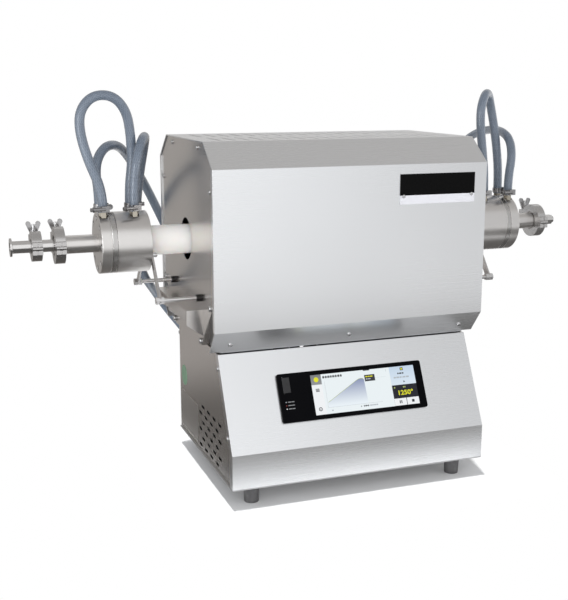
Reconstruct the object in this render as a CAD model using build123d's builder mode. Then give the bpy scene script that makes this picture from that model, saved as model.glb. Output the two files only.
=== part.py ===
"""Bench tube furnace: a sheet-metal furnace body on a control cabinet, a ceramic work tube with
water-cooled gas-tight flanges, small-flange gas fittings with wing-nut clamps, and cooling hoses.

Millimetres. While modelling, X runs along the work tube from the middle of the furnace, Y runs to
the back from the tube's axis and Z is up from the floor. On writing, every piece is moved so that
the origin is on the floor under the middle of the whole furnace without its hoses.
"""
from build123d import *
from math import atan2, cos, degrees, hypot, pi, radians, sin, sqrt, tan
import os

os.makedirs("parts", exist_ok=True)

# ---------------------------------------------------------------- driving dimensions
sheet = 2.0                 # all folded sheet
gap = 0.5                   # between sheets that slide past each other on assembly
running = 0.05              # radial clearance of a pin that turns
tube_axis = 410.0           # height of the work tube's axis

# furnace body, in cross-section
body_half = 240.0           # half its length along the tube
body_top = 580.0
roof_half = 122.0
shoulder_height = 540.0
body_depth_half = 174.0
haunch_height = 282.0
waist_half = 141.0
waist_height = 241.0

# control cabinet
cabinet_half = 226.0
cabinet_floor = 32.0
cabinet_front = 217.0
apron_top = 91.0
cabinet_back = 120.0

# end panels
end_air_gap = 12.0          # between the end panel and the inner wall
panel_corner_height = 333.0
panel_foot_half = 87.0
tube_hole = 72.0

# work tube
tube_od = 50.0
tube_id = 40.0
tube_fit = 0.3              # radial, between the tube and everything around it

# water-cooled flanges
flange_od = 102.0
flange_back = 307.4         # distance of the flange's inner face from the middle
flange_body_length = 56.2
gland_ring_length = 9.3
cap_length = 17.1
cap_bolt_circle = 84.0
cap_bolt_count = 8
port_offset = 18.0          # of the two hose barbs, to the front and to the back

# small-flange gas fittings
nozzle_od = 30.0
nozzle_id = 26.0
spool_od = 20.0
spool_id = 16.0
kf25_od = 40.0
kf16_od = 30.0
ferrule_rim = 3.0
seal_gap = 3.0
kf25_centre = 453.0         # of the clamp on the nozzle, from the middle
kf16_centre = 489.5
gas_port_end = 531.0
fitting_end = 495.0
clamp_width = 16.0

# hoses
hose_od = 16.0
barb_hex = 13.0
barb_hex_height = 9.0
barb_spigot_od = 10.0
barb_spigot_length = 20.0
barb_bore = 6.0

pieces = {}


def keep(name, builder):
    """Note a finished piece under its name."""
    pieces[name] = builder.part


def keep_group(name, *builders):
    """Note several builders' solids, which touch but aren't joined, as one group."""
    pieces[name] = Compound([solid for builder in builders for solid in builder.part.solids()])


def prism(points, plane, length):
    """A private solid: a polygon on a plane, pushed along the plane's normal."""
    with BuildPart() as solid:
        with BuildSketch(plane):
            with BuildLine():
                Polyline(*points, close=True)
            make_face()
        extrude(amount=length)
    return solid.part


def mirrored_points(half):
    """A half outline at +Y, listed from bottom to top, and its mirror image at -Y."""
    return [(-y, z) for y, z in half] + [(y, z) for y, z in reversed(half)]


def inset_points(points, amount):
    """A convex outline, listed round in either direction, with every side moved in by amount."""
    middle = (sum(p[0] for p in points) / len(points), sum(p[1] for p in points) / len(points))
    sides = []
    for (ax, ay), (bx, by) in zip(points, points[1:] + points[:1]):
        length = hypot(bx - ax, by - ay)
        nx, ny = (ay - by) / length, (bx - ax) / length
        if (middle[0] - ax) * nx + (middle[1] - ay) * ny < 0:
            nx, ny = -nx, -ny
        sides.append((nx, ny, nx * ax + ny * ay + amount))
    corners = []
    for (a1, b1, c1), (a2, b2, c2) in zip(sides[-1:] + sides[:-1], sides):
        det = a1 * b2 - a2 * b1
        corners.append(((c1 * b2 - c2 * b1) / det, (a1 * c2 - a2 * c1) / det))
    return corners


def across(half_length):
    """The YZ plane at the left end of a length that is centred on the furnace."""
    return Plane.YZ.offset(-half_length)


body_outline = mirrored_points([(waist_half, waist_height), (body_depth_half, haunch_height),
                                (body_depth_half, shoulder_height), (roof_half, body_top)])
body_inside = inset_points(body_outline, sheet)

# ---------------------------------------------------------------- furnace body: folded covers
wall_outer = cabinet_half - sheet           # outer face of the inner end walls
end_panel_outer = wall_outer + end_air_gap + sheet
cover_half = body_half
cover_return = 12.0
side_flange = 9.0
chamfer_screw_x = (-208.0, 0.0, 208.0)
chamfer_screw_drop = 0.6                    # share of the lower chamfer, from its upper fold
screw_hole = 4.2
nameplate_width, nameplate_height, nameplate_thick = 138.0, 49.5, 1.5
nameplate_centre = (148.0, 499.3)
nameplate_screw_inset = 6.0
nameplate_screw_height = -11.5

chamfer_run = body_depth_half - waist_half
chamfer_rise = haunch_height - waist_height
chamfer_length = hypot(chamfer_run, chamfer_rise)
chamfer_front = Plane(origin=(0, -body_depth_half, haunch_height), x_dir=(1, 0, 0),
                      z_dir=(0, -chamfer_rise / chamfer_length, -chamfer_run / chamfer_length))
chamfer_rear = Plane(origin=(0, body_depth_half, haunch_height), x_dir=(-1, 0, 0),
                     z_dir=(0, chamfer_rise / chamfer_length, -chamfer_run / chamfer_length))
chamfer_spots = [(x, -chamfer_screw_drop * chamfer_length) for x in chamfer_screw_x]
end_screw_spots = [(-83.0, 569.0), (83.0, 569.0), (-153.0, 504.0), (153.0, 504.0)]
end_bolt_spots = [(-150.0, 318.0), (150.0, 318.0), (-89.0, 251.0), (89.0, 251.0)]
nameplate_screw_x = nameplate_width / 2 - nameplate_screw_inset
nameplate_spots = [(nameplate_centre[0] + s * nameplate_screw_x,
                    nameplate_centre[1] + nameplate_screw_height) for s in (-1, 1)]


def body_cover(is_front):
    """One long cover: the upright face, the lower chamfer and the flanges folded from it."""
    side = -1 if is_front else 1
    chamfer = chamfer_front if is_front else chamfer_rear
    with BuildPart() as cover:
        add(prism(body_outline, across(cover_half), 2 * cover_half))
        add(prism(body_inside, across(cover_half), 2 * cover_half), mode=Mode.SUBTRACT)
        keep_depth = body_depth_half - waist_half + cover_return
        with Locations((0, side * (body_depth_half - keep_depth / 2), 0)):
            Box(2 * cover_half, keep_depth, shoulder_height, mode=Mode.INTERSECT,
                align=(Align.CENTER, Align.CENTER, Align.MIN))
        for end in (-1, 1):
            # The folded-under return stops short of the inner end walls.
            with Locations((end * (cover_half + wall_outer) / 2, side * waist_half, waist_height)):
                Box(cover_half - wall_outer + 2 * (sheet + gap), 2 * cover_return + gap, sheet + 0.2,
                    align=(Align.CENTER, Align.CENTER, Align.MIN), mode=Mode.SUBTRACT)
            with Locations((end * (cover_half - sheet / 2), side * body_depth_half, haunch_height)):
                Box(sheet, side_flange, shoulder_height - haunch_height,
                    align=(Align.CENTER, Align.MIN if is_front else Align.MAX, Align.MIN))
        with Locations(chamfer):
            with Locations(*chamfer_spots):
                Hole(screw_hole / 2, depth=10)
        if is_front:
            with BuildSketch(Plane.XZ.offset(body_depth_half)):
                with Locations(*nameplate_spots):
                    Circle(1.6)
            extrude(amount=-2 * sheet, mode=Mode.SUBTRACT)
    return cover


front_cover = body_cover(True)
keep("front_cover", front_cover)
rear_cover = body_cover(False)
keep("rear_cover", rear_cover)

slot_width = 4.0
slot_length = 88.0
slot_pitch = 24.0
roof_margin = 20.0
slot_columns = int((2 * body_half - 2 * roof_margin) // slot_pitch)
with BuildPart() as roof_cover:
    add(prism(body_outline, across(body_half), 2 * body_half))
    add(prism(body_inside, across(body_half), 2 * body_half), mode=Mode.SUBTRACT)
    with Locations((0, 0, shoulder_height)):
        Box(2 * body_half, 2 * body_depth_half, body_top - shoulder_height,
            align=(Align.CENTER, Align.CENTER, Align.MIN), mode=Mode.INTERSECT)
    with BuildSketch(Plane.XY.offset(body_top)):
        with GridLocations(slot_pitch, roof_half - 8, slot_columns, 2):
            SlotOverall(slot_length, slot_width, rotation=90)
    extrude(amount=-2 * sheet, mode=Mode.SUBTRACT)
keep("roof_cover", roof_cover)

floor_half = wall_outer - sheet - gap
with BuildPart() as body_floor:
    with Locations((0, 0, waist_height + sheet)):
        Box(2 * floor_half, 2 * (waist_half - gap - sheet / 2), sheet,
            align=(Align.CENTER, Align.CENTER, Align.MIN))
    with Locations((0, 0, waist_height + sheet)):
        with GridLocations(300, 160, 2, 2):
            Hole(9, depth=2 * sheet)
keep("body_floor", body_floor)

# ---------------------------------------------------------------- furnace body: ends
rod_y, rod_height = 86.0, 323.5
rod_od = 7.0
rod_reach = 313.0
end_panel_outline = mirrored_points([(panel_foot_half, waist_height + sheet),
                                     (body_depth_half - sheet - gap, panel_corner_height),
                                     (body_depth_half - sheet - gap, shoulder_height - 1),
                                     (roof_half - 1, body_top - sheet - gap)])
end_panel_inside = inset_points(end_panel_outline, sheet)
wall_outline = inset_points(body_outline, sheet + gap)


def end_plane(side, distance):
    """The plane across the tube at a distance from the middle, seen from outside."""
    return Plane(origin=(side * distance, 0, 0), x_dir=(0, 1, 0), z_dir=(1, 0, 0))


def end_panel(side):
    """Outer heat shield: a flat plate with a rim folded in along its lower edges."""
    with BuildPart() as panel:
        start = end_plane(side, end_panel_outer - sheet if side > 0 else end_panel_outer)
        add(prism(end_panel_outline, start, sheet))
        rim_start = end_plane(side, wall_outer if side > 0 else end_panel_outer)
        rim = prism(end_panel_outline, rim_start, end_air_gap + sheet)
        rim -= prism(end_panel_inside, rim_start, end_air_gap + sheet)
        below = panel_corner_height
        add(rim & Box(4 * body_half, 4 * body_half, below, mode=Mode.PRIVATE,
                      align=(Align.CENTER, Align.CENTER, Align.MIN)))
        with BuildSketch(end_plane(side, 0)):
            with Locations((0, tube_axis)):
                Circle(tube_hole / 2)
            with Locations(*end_screw_spots):
                Circle(screw_hole / 2)
            with Locations(*end_bolt_spots):
                Circle(bolt_od / 2 + 0.1)
            with Locations((-rod_y, rod_height), (rod_y, rod_height)):
                Circle(rod_od / 2 + gap)
        extrude(amount=side * 2 * body_half, mode=Mode.SUBTRACT)
    return panel


def inner_wall(side):
    """Inner end wall, which carries the insulation and the support rods."""
    with BuildPart() as wall:
        add(prism(wall_outline, end_plane(side, wall_outer - sheet if side > 0 else wall_outer), sheet))
        with BuildSketch(end_plane(side, 0)):
            with Locations((0, tube_axis)):
                Circle(tube_hole / 2 - 4)
            with Locations(*end_bolt_spots):
                Circle(bolt_od / 2 + 0.1)
            with Locations((-rod_y, rod_height), (rod_y, rod_height)):
                Circle(rod_od / 2)
        extrude(amount=side * 2 * body_half, mode=Mode.SUBTRACT)
    return wall


bolt_od = 6.0
keep_group("end_panels", end_panel(-1), end_panel(1))
keep_group("inner_end_walls", inner_wall(-1), inner_wall(1))

# ---------------------------------------------------------------- insulation and heating
insulation_gap = 10.0
insulation_end_gap = 22.0
insulation_half = wall_outer - sheet - insulation_end_gap
pad_size = 40.0             # of the pads that the block stands on
pad_inset = 50.0
pad_y = 90.0
chamber_radius = 62.0
chamber_half = 115.0
rod_circle_radius = 45.0
heating_rod_od = 12.0
heating_rod_count = 6
heating_rod_half = insulation_half + 16.0
thermocouple_od = 8.0
thermocouple_y = 20.0
insulation_outline = inset_points(body_outline, sheet + insulation_gap)
rod_spots = [(rod_circle_radius * cos(2 * pi * (k + 0.5) / heating_rod_count),
              tube_axis + rod_circle_radius * sin(2 * pi * (k + 0.5) / heating_rod_count))
             for k in range(heating_rod_count)]


def insulation_half_block(is_upper):
    """One half of the fibre block around the heated chamber, split through the tube's axis."""
    with BuildPart() as block:
        add(prism(insulation_outline, across(insulation_half), 2 * insulation_half))
        with Locations((0, 0, tube_axis)):
            Box(4 * insulation_half, 4 * insulation_half, 2 * body_top,
                align=(Align.CENTER, Align.CENTER, Align.MAX if is_upper else Align.MIN),
                mode=Mode.SUBTRACT)
        with BuildSketch(across(insulation_half)):
            with Locations((0, tube_axis)):
                Circle(tube_od / 2 + 2)
            with Locations(*rod_spots):
                Circle(heating_rod_od / 2 + 0.5)
        extrude(amount=2 * insulation_half, mode=Mode.SUBTRACT)
        with BuildSketch(across(chamber_half)):
            with Locations((0, tube_axis)):
                Circle(chamber_radius)
        extrude(amount=2 * chamber_half, mode=Mode.SUBTRACT)
        if is_upper:
            with Locations((0, thermocouple_y, tube_axis)):
                Cylinder(thermocouple_od / 2 + 0.5, body_top, mode=Mode.SUBTRACT,
                         align=(Align.CENTER, Align.CENTER, Align.MIN))
        else:
            with Locations(*[(x, y, waist_height + 2 * sheet) for y in (-pad_y, pad_y)
                             for x in (pad_inset - insulation_half, insulation_half - pad_inset)]):
                Box(pad_size, pad_size, insulation_gap - sheet,
                    align=(Align.CENTER, Align.CENTER, Align.MIN))
    return block


keep("insulation_lower", insulation_half_block(False))
keep("insulation_upper", insulation_half_block(True))

with BuildPart() as heating_rods:
    with BuildSketch(across(heating_rod_half)):
        with Locations(*rod_spots):
            Circle(heating_rod_od / 2)
    extrude(amount=2 * heating_rod_half)
terminal_width = 9.0
terminal_start = insulation_half + 3.0
with BuildPart() as rod_terminals:
    for start in (-terminal_start - terminal_width, terminal_start):
        with BuildSketch(Plane.YZ.offset(start)):
            with Locations(*rod_spots):
                Circle(heating_rod_od / 2 + 3)
                Circle(heating_rod_od / 2, mode=Mode.SUBTRACT)
        extrude(amount=terminal_width)
keep_group("heating_rods", heating_rods, rod_terminals)

insulation_top = body_top - sheet - insulation_gap
thermocouple_tip = tube_axis + tube_od / 2 + 6
with BuildPart() as thermocouple:
    with Locations((0, thermocouple_y, thermocouple_tip)):
        Cylinder(thermocouple_od / 2, insulation_top - thermocouple_tip,
                 align=(Align.CENTER, Align.CENTER, Align.MIN))
    with Locations((0, thermocouple_y, insulation_top)):
        Cylinder(thermocouple_od + 2, insulation_gap - 1, align=(Align.CENTER, Align.CENTER, Align.MIN))
    fillet(thermocouple.faces().sort_by(Axis.Z)[0].edges(), thermocouple_od / 2 - 0.5)
keep("thermocouple", thermocouple)

tube_end = flange_back + flange_body_length + gland_ring_length - 1.0
with BuildPart() as work_tube:
    with BuildSketch(across(tube_end)):
        with Locations((0, tube_axis)):
            Circle(tube_od / 2)
            Circle(tube_id / 2, mode=Mode.SUBTRACT)
    extrude(amount=2 * tube_end)
keep("work_tube", work_tube)

plug_length = 60.0
plug_fit = 0.2
plug_inner_end = 150.0
with BuildPart() as tube_plugs:
    for start in (-plug_inner_end - plug_length, plug_inner_end):
        with BuildSketch(Plane.YZ.offset(start)):
            with Locations((0, tube_axis)):
                Circle(tube_id / 2 - plug_fit)
                Circle(4, mode=Mode.SUBTRACT)
        extrude(amount=plug_length)
keep("tube_plugs", tube_plugs)

# ---------------------------------------------------------------- support brackets, rods and arms
shelf_height = 307.0
shelf_reach = 29.0
shelf_half = 104.0
gusset_height = 25.0
gusset_foot = 45.0
arm_thick = 3.0
arm_width = 12.0
arm_top_y, arm_top_height = 31.0, tube_axis - 20.0
nut_height = 5.0
nut_flats = 11.0
rod_bush_od, rod_bush_length = 12.0, 7.0


def support_bracket(side):
    """Shelf under the tube, with three gussets, on the end panel."""
    with BuildPart() as bracket:
        with Locations((side * (end_panel_outer + shelf_reach / 2), 0, shelf_height - sheet)):
            Box(shelf_reach, 2 * shelf_half, sheet, align=(Align.CENTER, Align.CENTER, Align.MIN))
        for y in (-shelf_half + sheet, 20.0, shelf_half):
            inner, outer = side * end_panel_outer, side * (end_panel_outer + shelf_reach)
            gusset = [(inner, shelf_height - sheet), (outer, shelf_height - sheet),
                      (outer, shelf_height - gusset_height), (inner, shelf_height - gusset_foot)]
            add(prism(gusset, Plane.XZ.offset(-y), sheet))
    return bracket


keep_group("support_brackets", support_bracket(-1), support_bracket(1))

with BuildPart() as support_rods:
    for side in (-1, 1):
        with BuildSketch(end_plane(side, wall_outer - sheet)):
            with Locations((-rod_y, rod_height), (rod_y, rod_height)):
                Circle(rod_od / 2)
        extrude(amount=side * (rod_reach - 2 - wall_outer + sheet))
arm_outer = flange_back
arm_inner = flange_back - arm_thick
arm_angle = degrees(atan2(arm_top_height - rod_height, arm_top_y - rod_y))
arm_length = hypot(arm_top_height - rod_height, arm_top_y - rod_y)
with BuildPart() as support_arms:
    for side in (-1, 1):
        with BuildSketch(end_plane(side, arm_inner)):
            for y in (-1, 1):
                middle = (y * (rod_y + arm_top_y) / 2, (rod_height + arm_top_height) / 2)
                with Locations(middle):
                    SlotCenterToCenter(arm_length, arm_width, rotation=y * arm_angle)
            with Locations((-rod_y, rod_height), (rod_y, rod_height)):
                Circle(rod_od / 2 + 0.1, mode=Mode.SUBTRACT)
            with Locations((-arm_top_y, arm_top_height), (arm_top_y, arm_top_height)):
                Circle(bolt_od / 2 + 0.1, mode=Mode.SUBTRACT)
        extrude(amount=side * arm_thick)
with BuildPart() as support_nuts:
    for side in (-1, 1):
        for start, length in ((arm_inner - nut_height, nut_height), (arm_outer, rod_reach - arm_outer)):
            with BuildSketch(end_plane(side, start)):
                with Locations((-rod_y, rod_height), (rod_y, rod_height)):
                    RegularPolygon(nut_flats / 2, 6, major_radius=False)
                    Circle(rod_od / 2, mode=Mode.SUBTRACT)
            extrude(amount=side * length)
        with BuildSketch(end_plane(side, rod_reach - 2)):
            with Locations((-rod_y, rod_height), (rod_y, rod_height)):
                Circle(rod_od / 2)
        extrude(amount=side * 2)
with BuildPart() as support_bushes:
    for side in (-1, 1):
        with BuildSketch(end_plane(side, end_panel_outer)):
            with Locations((-rod_y, rod_height), (rod_y, rod_height)):
                Circle(rod_bush_od / 2)
                Circle(rod_od / 2, mode=Mode.SUBTRACT)
        extrude(amount=side * rod_bush_length)
keep_group("tube_supports", support_rods, support_arms, support_nuts, support_bushes)

# ---------------------------------------------------------------- water-cooled flanges
body_face = flange_back + flange_body_length
ring_face = body_face + gland_ring_length
cap_face = ring_face + cap_length
seal_radius = 28.0
seal_minor = 2.6
groove_depth = 2 * seal_minor
channel_inner, channel_outer = 36.0, 45.0
body_channel = (330.0 - 11, 330.0 + 11)
cap_channel_inner, cap_channel_outer = 20.0, 34.0
cap_channel = (cap_face - 13.0, cap_face - 6.0)
body_port, cap_port = 330.0, ring_face + cap_length / 2
cap_bolt_hole = 6.4
cap_bolt_head, cap_bolt_sink = 10.0, 6.5
port_hole = 8.0
barb_corner = barb_hex / 2 / cos(radians(30))
port_height = sqrt((flange_od / 2) ** 2 - (port_offset + barb_corner) ** 2)   # of the spot faces
edge_round = 1.0


def axis_plane(side):
    """Plane for profiles turned about the tube's axis: x outwards along it, y is the radius."""
    return Plane(origin=(0, 0, tube_axis), x_dir=(side, 0, 0), z_dir=(0, -side, 0))


def turned(profiles, side):
    """A private solid of rectangles (start, end, inner radius, outer radius) turned about the tube."""
    with BuildPart() as solid:
        with BuildSketch(axis_plane(side)):
            for start, end, inner, outer in profiles:
                with Locations(((start + end) / 2, (inner + outer) / 2)):
                    Rectangle(end - start, outer - inner)
        revolve(axis=Axis((0, 0, tube_axis), (1, 0, 0)))
    return solid.part


def cut_ports(side, port_x, channel_top):
    """Spot-faced vertical holes from the top of a flange down into its water channel."""
    for y in (-port_offset, port_offset):
        with Locations((side * port_x, y, tube_axis + channel_top)):
            Cylinder(port_hole / 2, flange_od / 2, mode=Mode.SUBTRACT,
                     align=(Align.CENTER, Align.CENTER, Align.MIN))
        with Locations((side * port_x, y, tube_axis + port_height)):
            Cylinder(barb_corner + 0.5, flange_od / 2, mode=Mode.SUBTRACT,
                     align=(Align.CENTER, Align.CENTER, Align.MIN))


def bolt_ring():
    """Centres of the cap's bolts, as seen along the tube."""
    return PolarLocations(cap_bolt_circle / 2, cap_bolt_count)


def flange_body(side):
    """Cooled body clamped round the tube's end."""
    inner = tube_od / 2 + tube_fit
    with BuildPart() as body:
        add(turned([(flange_back, body_face, inner, flange_od / 2)], side))
        outer_edges = body.edges().filter_by(GeomType.CIRCLE).filter_by(
            lambda edge: abs(edge.radius - flange_od / 2) < 0.01)
        fillet(outer_edges, edge_round)
        add(turned([(*body_channel, channel_inner, channel_outer)], side), mode=Mode.SUBTRACT)
        add(turned([(body_face - groove_depth, body_face, inner, seal_radius + seal_minor + 0.1)], side),
            mode=Mode.SUBTRACT)
        cut_ports(side, body_port, channel_outer - 7)
        with BuildSketch(end_plane(side, body_face)):
            with Locations((0, tube_axis)):
                with bolt_ring():
                    Circle(bolt_od / 2)
        extrude(amount=-side * 16, mode=Mode.SUBTRACT)
        with BuildSketch(end_plane(side, flange_back)):
            with Locations((-arm_top_y, arm_top_height), (arm_top_y, arm_top_height)):
                Circle(bolt_od / 2)
        extrude(amount=side * 9, mode=Mode.SUBTRACT)
    return body


def gland_ring(side):
    """Ring between the body and the cap, which squeezes both tube seals."""
    inner = tube_od / 2 + tube_fit
    with BuildPart() as ring:
        add(turned([(body_face, ring_face, inner, flange_od / 2)], side))
        outer_edges = ring.edges().filter_by(GeomType.CIRCLE).filter_by(
            lambda edge: abs(edge.radius - flange_od / 2) < 0.01)
        fillet(outer_edges, edge_round)
        with BuildSketch(end_plane(side, body_face)):
            with Locations((0, tube_axis)):
                with bolt_ring():
                    Circle(cap_bolt_hole / 2)
        extrude(amount=side * gland_ring_length, mode=Mode.SUBTRACT)
    return ring


ferrule_slope = tan(radians(15))


def ferrule_points(face, direction, od, pipe_radius):
    """Half section of a clamping ferrule whose flat face is at face; its pipe lies in -direction."""
    rim_back = face - direction * ferrule_rim
    taper = (od / 2 - pipe_radius) * ferrule_slope
    return [(face, 0), (face, od / 2), (rim_back, od / 2), (rim_back - direction * taper, pipe_radius)]


def spool(side, start_face, start_od, end_face, end_od, pipe_od, bore):
    """A pipe with a clamping ferrule at each end, or at one end if the other's size is its own."""
    head = ferrule_points(start_face, -1, start_od, pipe_od / 2)
    tail = ferrule_points(end_face, 1, end_od, pipe_od / 2)
    with BuildPart() as pipe:
        with BuildSketch(axis_plane(side)):
            with BuildLine():
                Polyline(*head, *reversed(tail), close=True)
            make_face()
        revolve(axis=Axis((0, 0, tube_axis), (1, 0, 0)))
        with BuildSketch(end_plane(side, start_face)):
            with Locations((0, tube_axis)):
                Circle(bore / 2)
        extrude(amount=side * (end_face - start_face), mode=Mode.SUBTRACT)
    return pipe


nozzle_face = kf25_centre - seal_gap / 2


def flange_cap(side):
    """Cooled cap with the gas nozzle, which ends in a clamping ferrule."""
    tail = ferrule_points(nozzle_face, 1, kf25_od, nozzle_od / 2)
    with BuildPart() as cap:
        with BuildSketch(axis_plane(side)):
            with BuildLine():
                Polyline((ring_face, 0), (ring_face, flange_od / 2), (cap_face, flange_od / 2),
                         (cap_face, nozzle_od / 2), *reversed(tail), close=True)
            make_face()
        revolve(axis=Axis((0, 0, tube_axis), (1, 0, 0)))
        outer_edges = cap.edges().filter_by(GeomType.CIRCLE).filter_by(
            lambda edge: abs(edge.radius - flange_od / 2) < 0.01)
        fillet(outer_edges, edge_round)
        add(turned([(*cap_channel, cap_channel_inner, cap_channel_outer)], side), mode=Mode.SUBTRACT)
        cut_ports(side, cap_port, cap_channel_outer - 5)
        with BuildSketch(end_plane(side, ring_face)):
            with Locations((0, tube_axis)):
                Circle(nozzle_id / 2)
        extrude(amount=side * (nozzle_face - ring_face), mode=Mode.SUBTRACT)
        with BuildSketch(end_plane(side, ring_face)):
            with Locations((0, tube_axis)):
                with bolt_ring():
                    Circle(cap_bolt_hole / 2)
        extrude(amount=side * cap_length, mode=Mode.SUBTRACT)
        with BuildSketch(end_plane(side, cap_face)):
            with Locations((0, tube_axis)):
                with bolt_ring():
                    Circle(cap_bolt_head / 2 + 0.3)
        extrude(amount=-side * cap_bolt_sink, mode=Mode.SUBTRACT)
    return cap


for side, word in ((-1, "left"), (1, "right")):
    keep(f"flange_body_{word}", flange_body(side))
    keep(f"flange_cap_{word}", flange_cap(side))

keep_group("gland_rings", gland_ring(-1), gland_ring(1))

with BuildPart() as tube_seals:
    for side in (-1, 1):
        with Locations(Location((side * (body_face - seal_minor), 0, tube_axis), (0, 90, 0))):
            Torus(seal_radius, seal_minor)
with BuildPart() as cap_bolts:
    for side in (-1, 1):
        head_seat = cap_face - cap_bolt_sink
        with BuildSketch(end_plane(side, head_seat)):
            with Locations((0, tube_axis)):
                with bolt_ring():
                    Circle(cap_bolt_head / 2)
        extrude(amount=side * 6)
        with BuildSketch(end_plane(side, head_seat)):
            with Locations((0, tube_axis)):
                with bolt_ring():
                    Circle(bolt_od / 2)
        extrude(amount=-side * (head_seat - body_face + 12))
        with BuildSketch(end_plane(side, head_seat + 6)):
            with Locations((0, tube_axis)):
                with bolt_ring():
                    RegularPolygon(2.5, 6, major_radius=False)
        extrude(amount=-side * 3, mode=Mode.SUBTRACT)

# ---------------------------------------------------------------- hose barbs and rear water ports
port_places = [(side * x, y) for side in (-1, 1) for x in (cap_port, body_port)
               for y in (-port_offset, port_offset)]
barb_foot = tube_axis + port_height
barb_seat = barb_foot + barb_hex_height            # where a hose end rests
rear_port_height = 200.0
rear_port_x = (-196.0, -156.0, 156.0, 196.0)
rear_seat = cabinet_back + barb_hex_height


def barb():
    """A private hose barb that stands on the origin: stub, hexagon and ribbed spigot."""
    with BuildPart() as fitting:
        Cylinder(port_hole / 2, 6, align=(Align.CENTER, Align.CENTER, Align.MAX))
        with BuildSketch():
            RegularPolygon(barb_hex / 2, 6, major_radius=False)
        extrude(amount=barb_hex_height)
        with BuildSketch(Plane.XZ):
            with BuildLine():
                start, root, crest = barb_hex_height, barb_spigot_od / 2 - 0.8, barb_spigot_od / 2
                third = barb_spigot_length / 3
                Polyline((0, start), (crest, start), (root, start + third), (crest, start + third),
                         (root, start + 2 * third), (crest, start + 2 * third),
                         (root, start + 3 * third), (0, start + 3 * third), close=True)
            make_face()
        revolve(axis=Axis.Z)
        Hole(barb_bore / 2, depth=3 * barb_spigot_length)
    return fitting.part


with BuildPart() as hose_barbs:
    for x, y in port_places:
        with Locations((x, y, barb_foot)):
            add(barb())
with BuildPart() as rear_water_ports:
    for x in rear_port_x:
        with Locations(Location((x, cabinet_back, rear_port_height), (-90, 0, 0))):
            add(barb())
        with Locations(Location((x, cabinet_back - sheet, rear_port_height), (90, 0, 0))):
            Cylinder(barb_hex / 2, 4, align=(Align.CENTER, Align.CENTER, Align.MIN))
            Hole(barb_bore / 2, depth=30)
keep_group("hose_barbs", hose_barbs, rear_water_ports)

# ---------------------------------------------------------------- gas line fittings
keep("reducer_spool", spool(-1, kf25_centre + seal_gap / 2, kf25_od, kf16_centre - seal_gap / 2, kf16_od,
                            spool_od, spool_id))
keep("gas_port_spool", spool(-1, kf16_centre + seal_gap / 2, kf16_od, gas_port_end, kf16_od,
                             spool_od, spool_id))

fitting_bore = 6.0
fitting_hex = 17.0
fitting_hex_start = kf25_centre + clamp_width / 2 + 8.0
with BuildPart() as gas_fitting:
    blank_face = kf25_centre + seal_gap / 2
    with BuildSketch(axis_plane(1)):
        with BuildLine():
            Polyline(*ferrule_points(blank_face, -1, kf25_od, 8.0), (fitting_hex_start, 8.0),
                     (fitting_hex_start, 0), close=True)
        make_face()
    revolve(axis=Axis((0, 0, tube_axis), (1, 0, 0)))
    with BuildSketch(Plane.YZ.offset(fitting_hex_start)):
        with Locations((0, tube_axis)):
            RegularPolygon(fitting_hex / 2, 6, major_radius=False)
    extrude(amount=fitting_end - fitting_hex_start - 4)
    with BuildSketch(Plane.YZ.offset(fitting_end - 4)):
        with Locations((0, tube_axis)):
            Circle(fitting_hex / 2 - 2)
    extrude(amount=4)
    with BuildSketch(Plane.YZ.offset(blank_face)):
        with Locations((0, tube_axis)):
            Circle(fitting_bore / 2)
    extrude(amount=fitting_end - blank_face, mode=Mode.SUBTRACT)
keep("gas_fitting", gas_fitting)

with BuildPart() as clamp_seals:
    for side, centre, od, bore in ((-1, kf16_centre, kf16_od, spool_id),
                                   (-1, kf25_centre, kf25_od, nozzle_id),
                                   (1, kf25_centre, kf25_od, nozzle_id)):
        add(turned([(centre - seal_gap / 2, centre + seal_gap / 2, bore / 2, od / 2 - 1.5)], side))
keep_group("seal_rings", tube_seals, clamp_seals)

# ---------------------------------------------------------------- wing-nut clamps
ferrule_clearance = 0.25
hinge_offset = 4.0
knuckle_radius = 3.5
knuckle_split = 3.0
pin_radius = 1.5
side_gap = 0.2
bolt_radius = 2.5
bolt_slot = 5.8
ear_reach = 6.0
split_gap = 0.3
eye_drop = 8.0
washer_thick = 1.2
nut_travel = 8.0
nut_hub_height = 7.0
nut_hub_radius = 4.8
wing_span = 12.0
wing_rise = 21.0
wing_thick = 3.4
wing_tip_radius = 4.0
wing_root_radius = 2.8
wing_dish = 0.9
lug_height = 10.0            # of the hinge lugs, above and below the split
lug_proud = 2.0
lug_groove = 2.4


class ClampSize:
    """Sizes of one clamp, worked out from its flange and its outer ring."""

    def __init__(self, side, centre, od, pipe_od, ring_radius, ear_top):
        self.side = side
        self.x = side * centre
        self.od = od
        self.pipe_radius = pipe_od / 2
        self.ring_radius = ring_radius
        self.ear_top = ear_top
        self.hinge_y = -(ring_radius + hinge_offset)
        self.bolt_y = ring_radius + 2.5
        self.lip_radius = od / 2 - (od - pipe_od) / 2 * 0.6


clamp_sizes = {
    "port_clamp": ClampSize(-1, kf16_centre, kf16_od, spool_od, 24.5, 15.5),
    "nozzle_clamp_left": ClampSize(-1, kf25_centre, kf25_od, nozzle_od, 30.5, 17.0),
    "nozzle_clamp_right": ClampSize(1, kf25_centre, kf25_od, nozzle_od, 30.5, 17.0),
}


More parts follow.
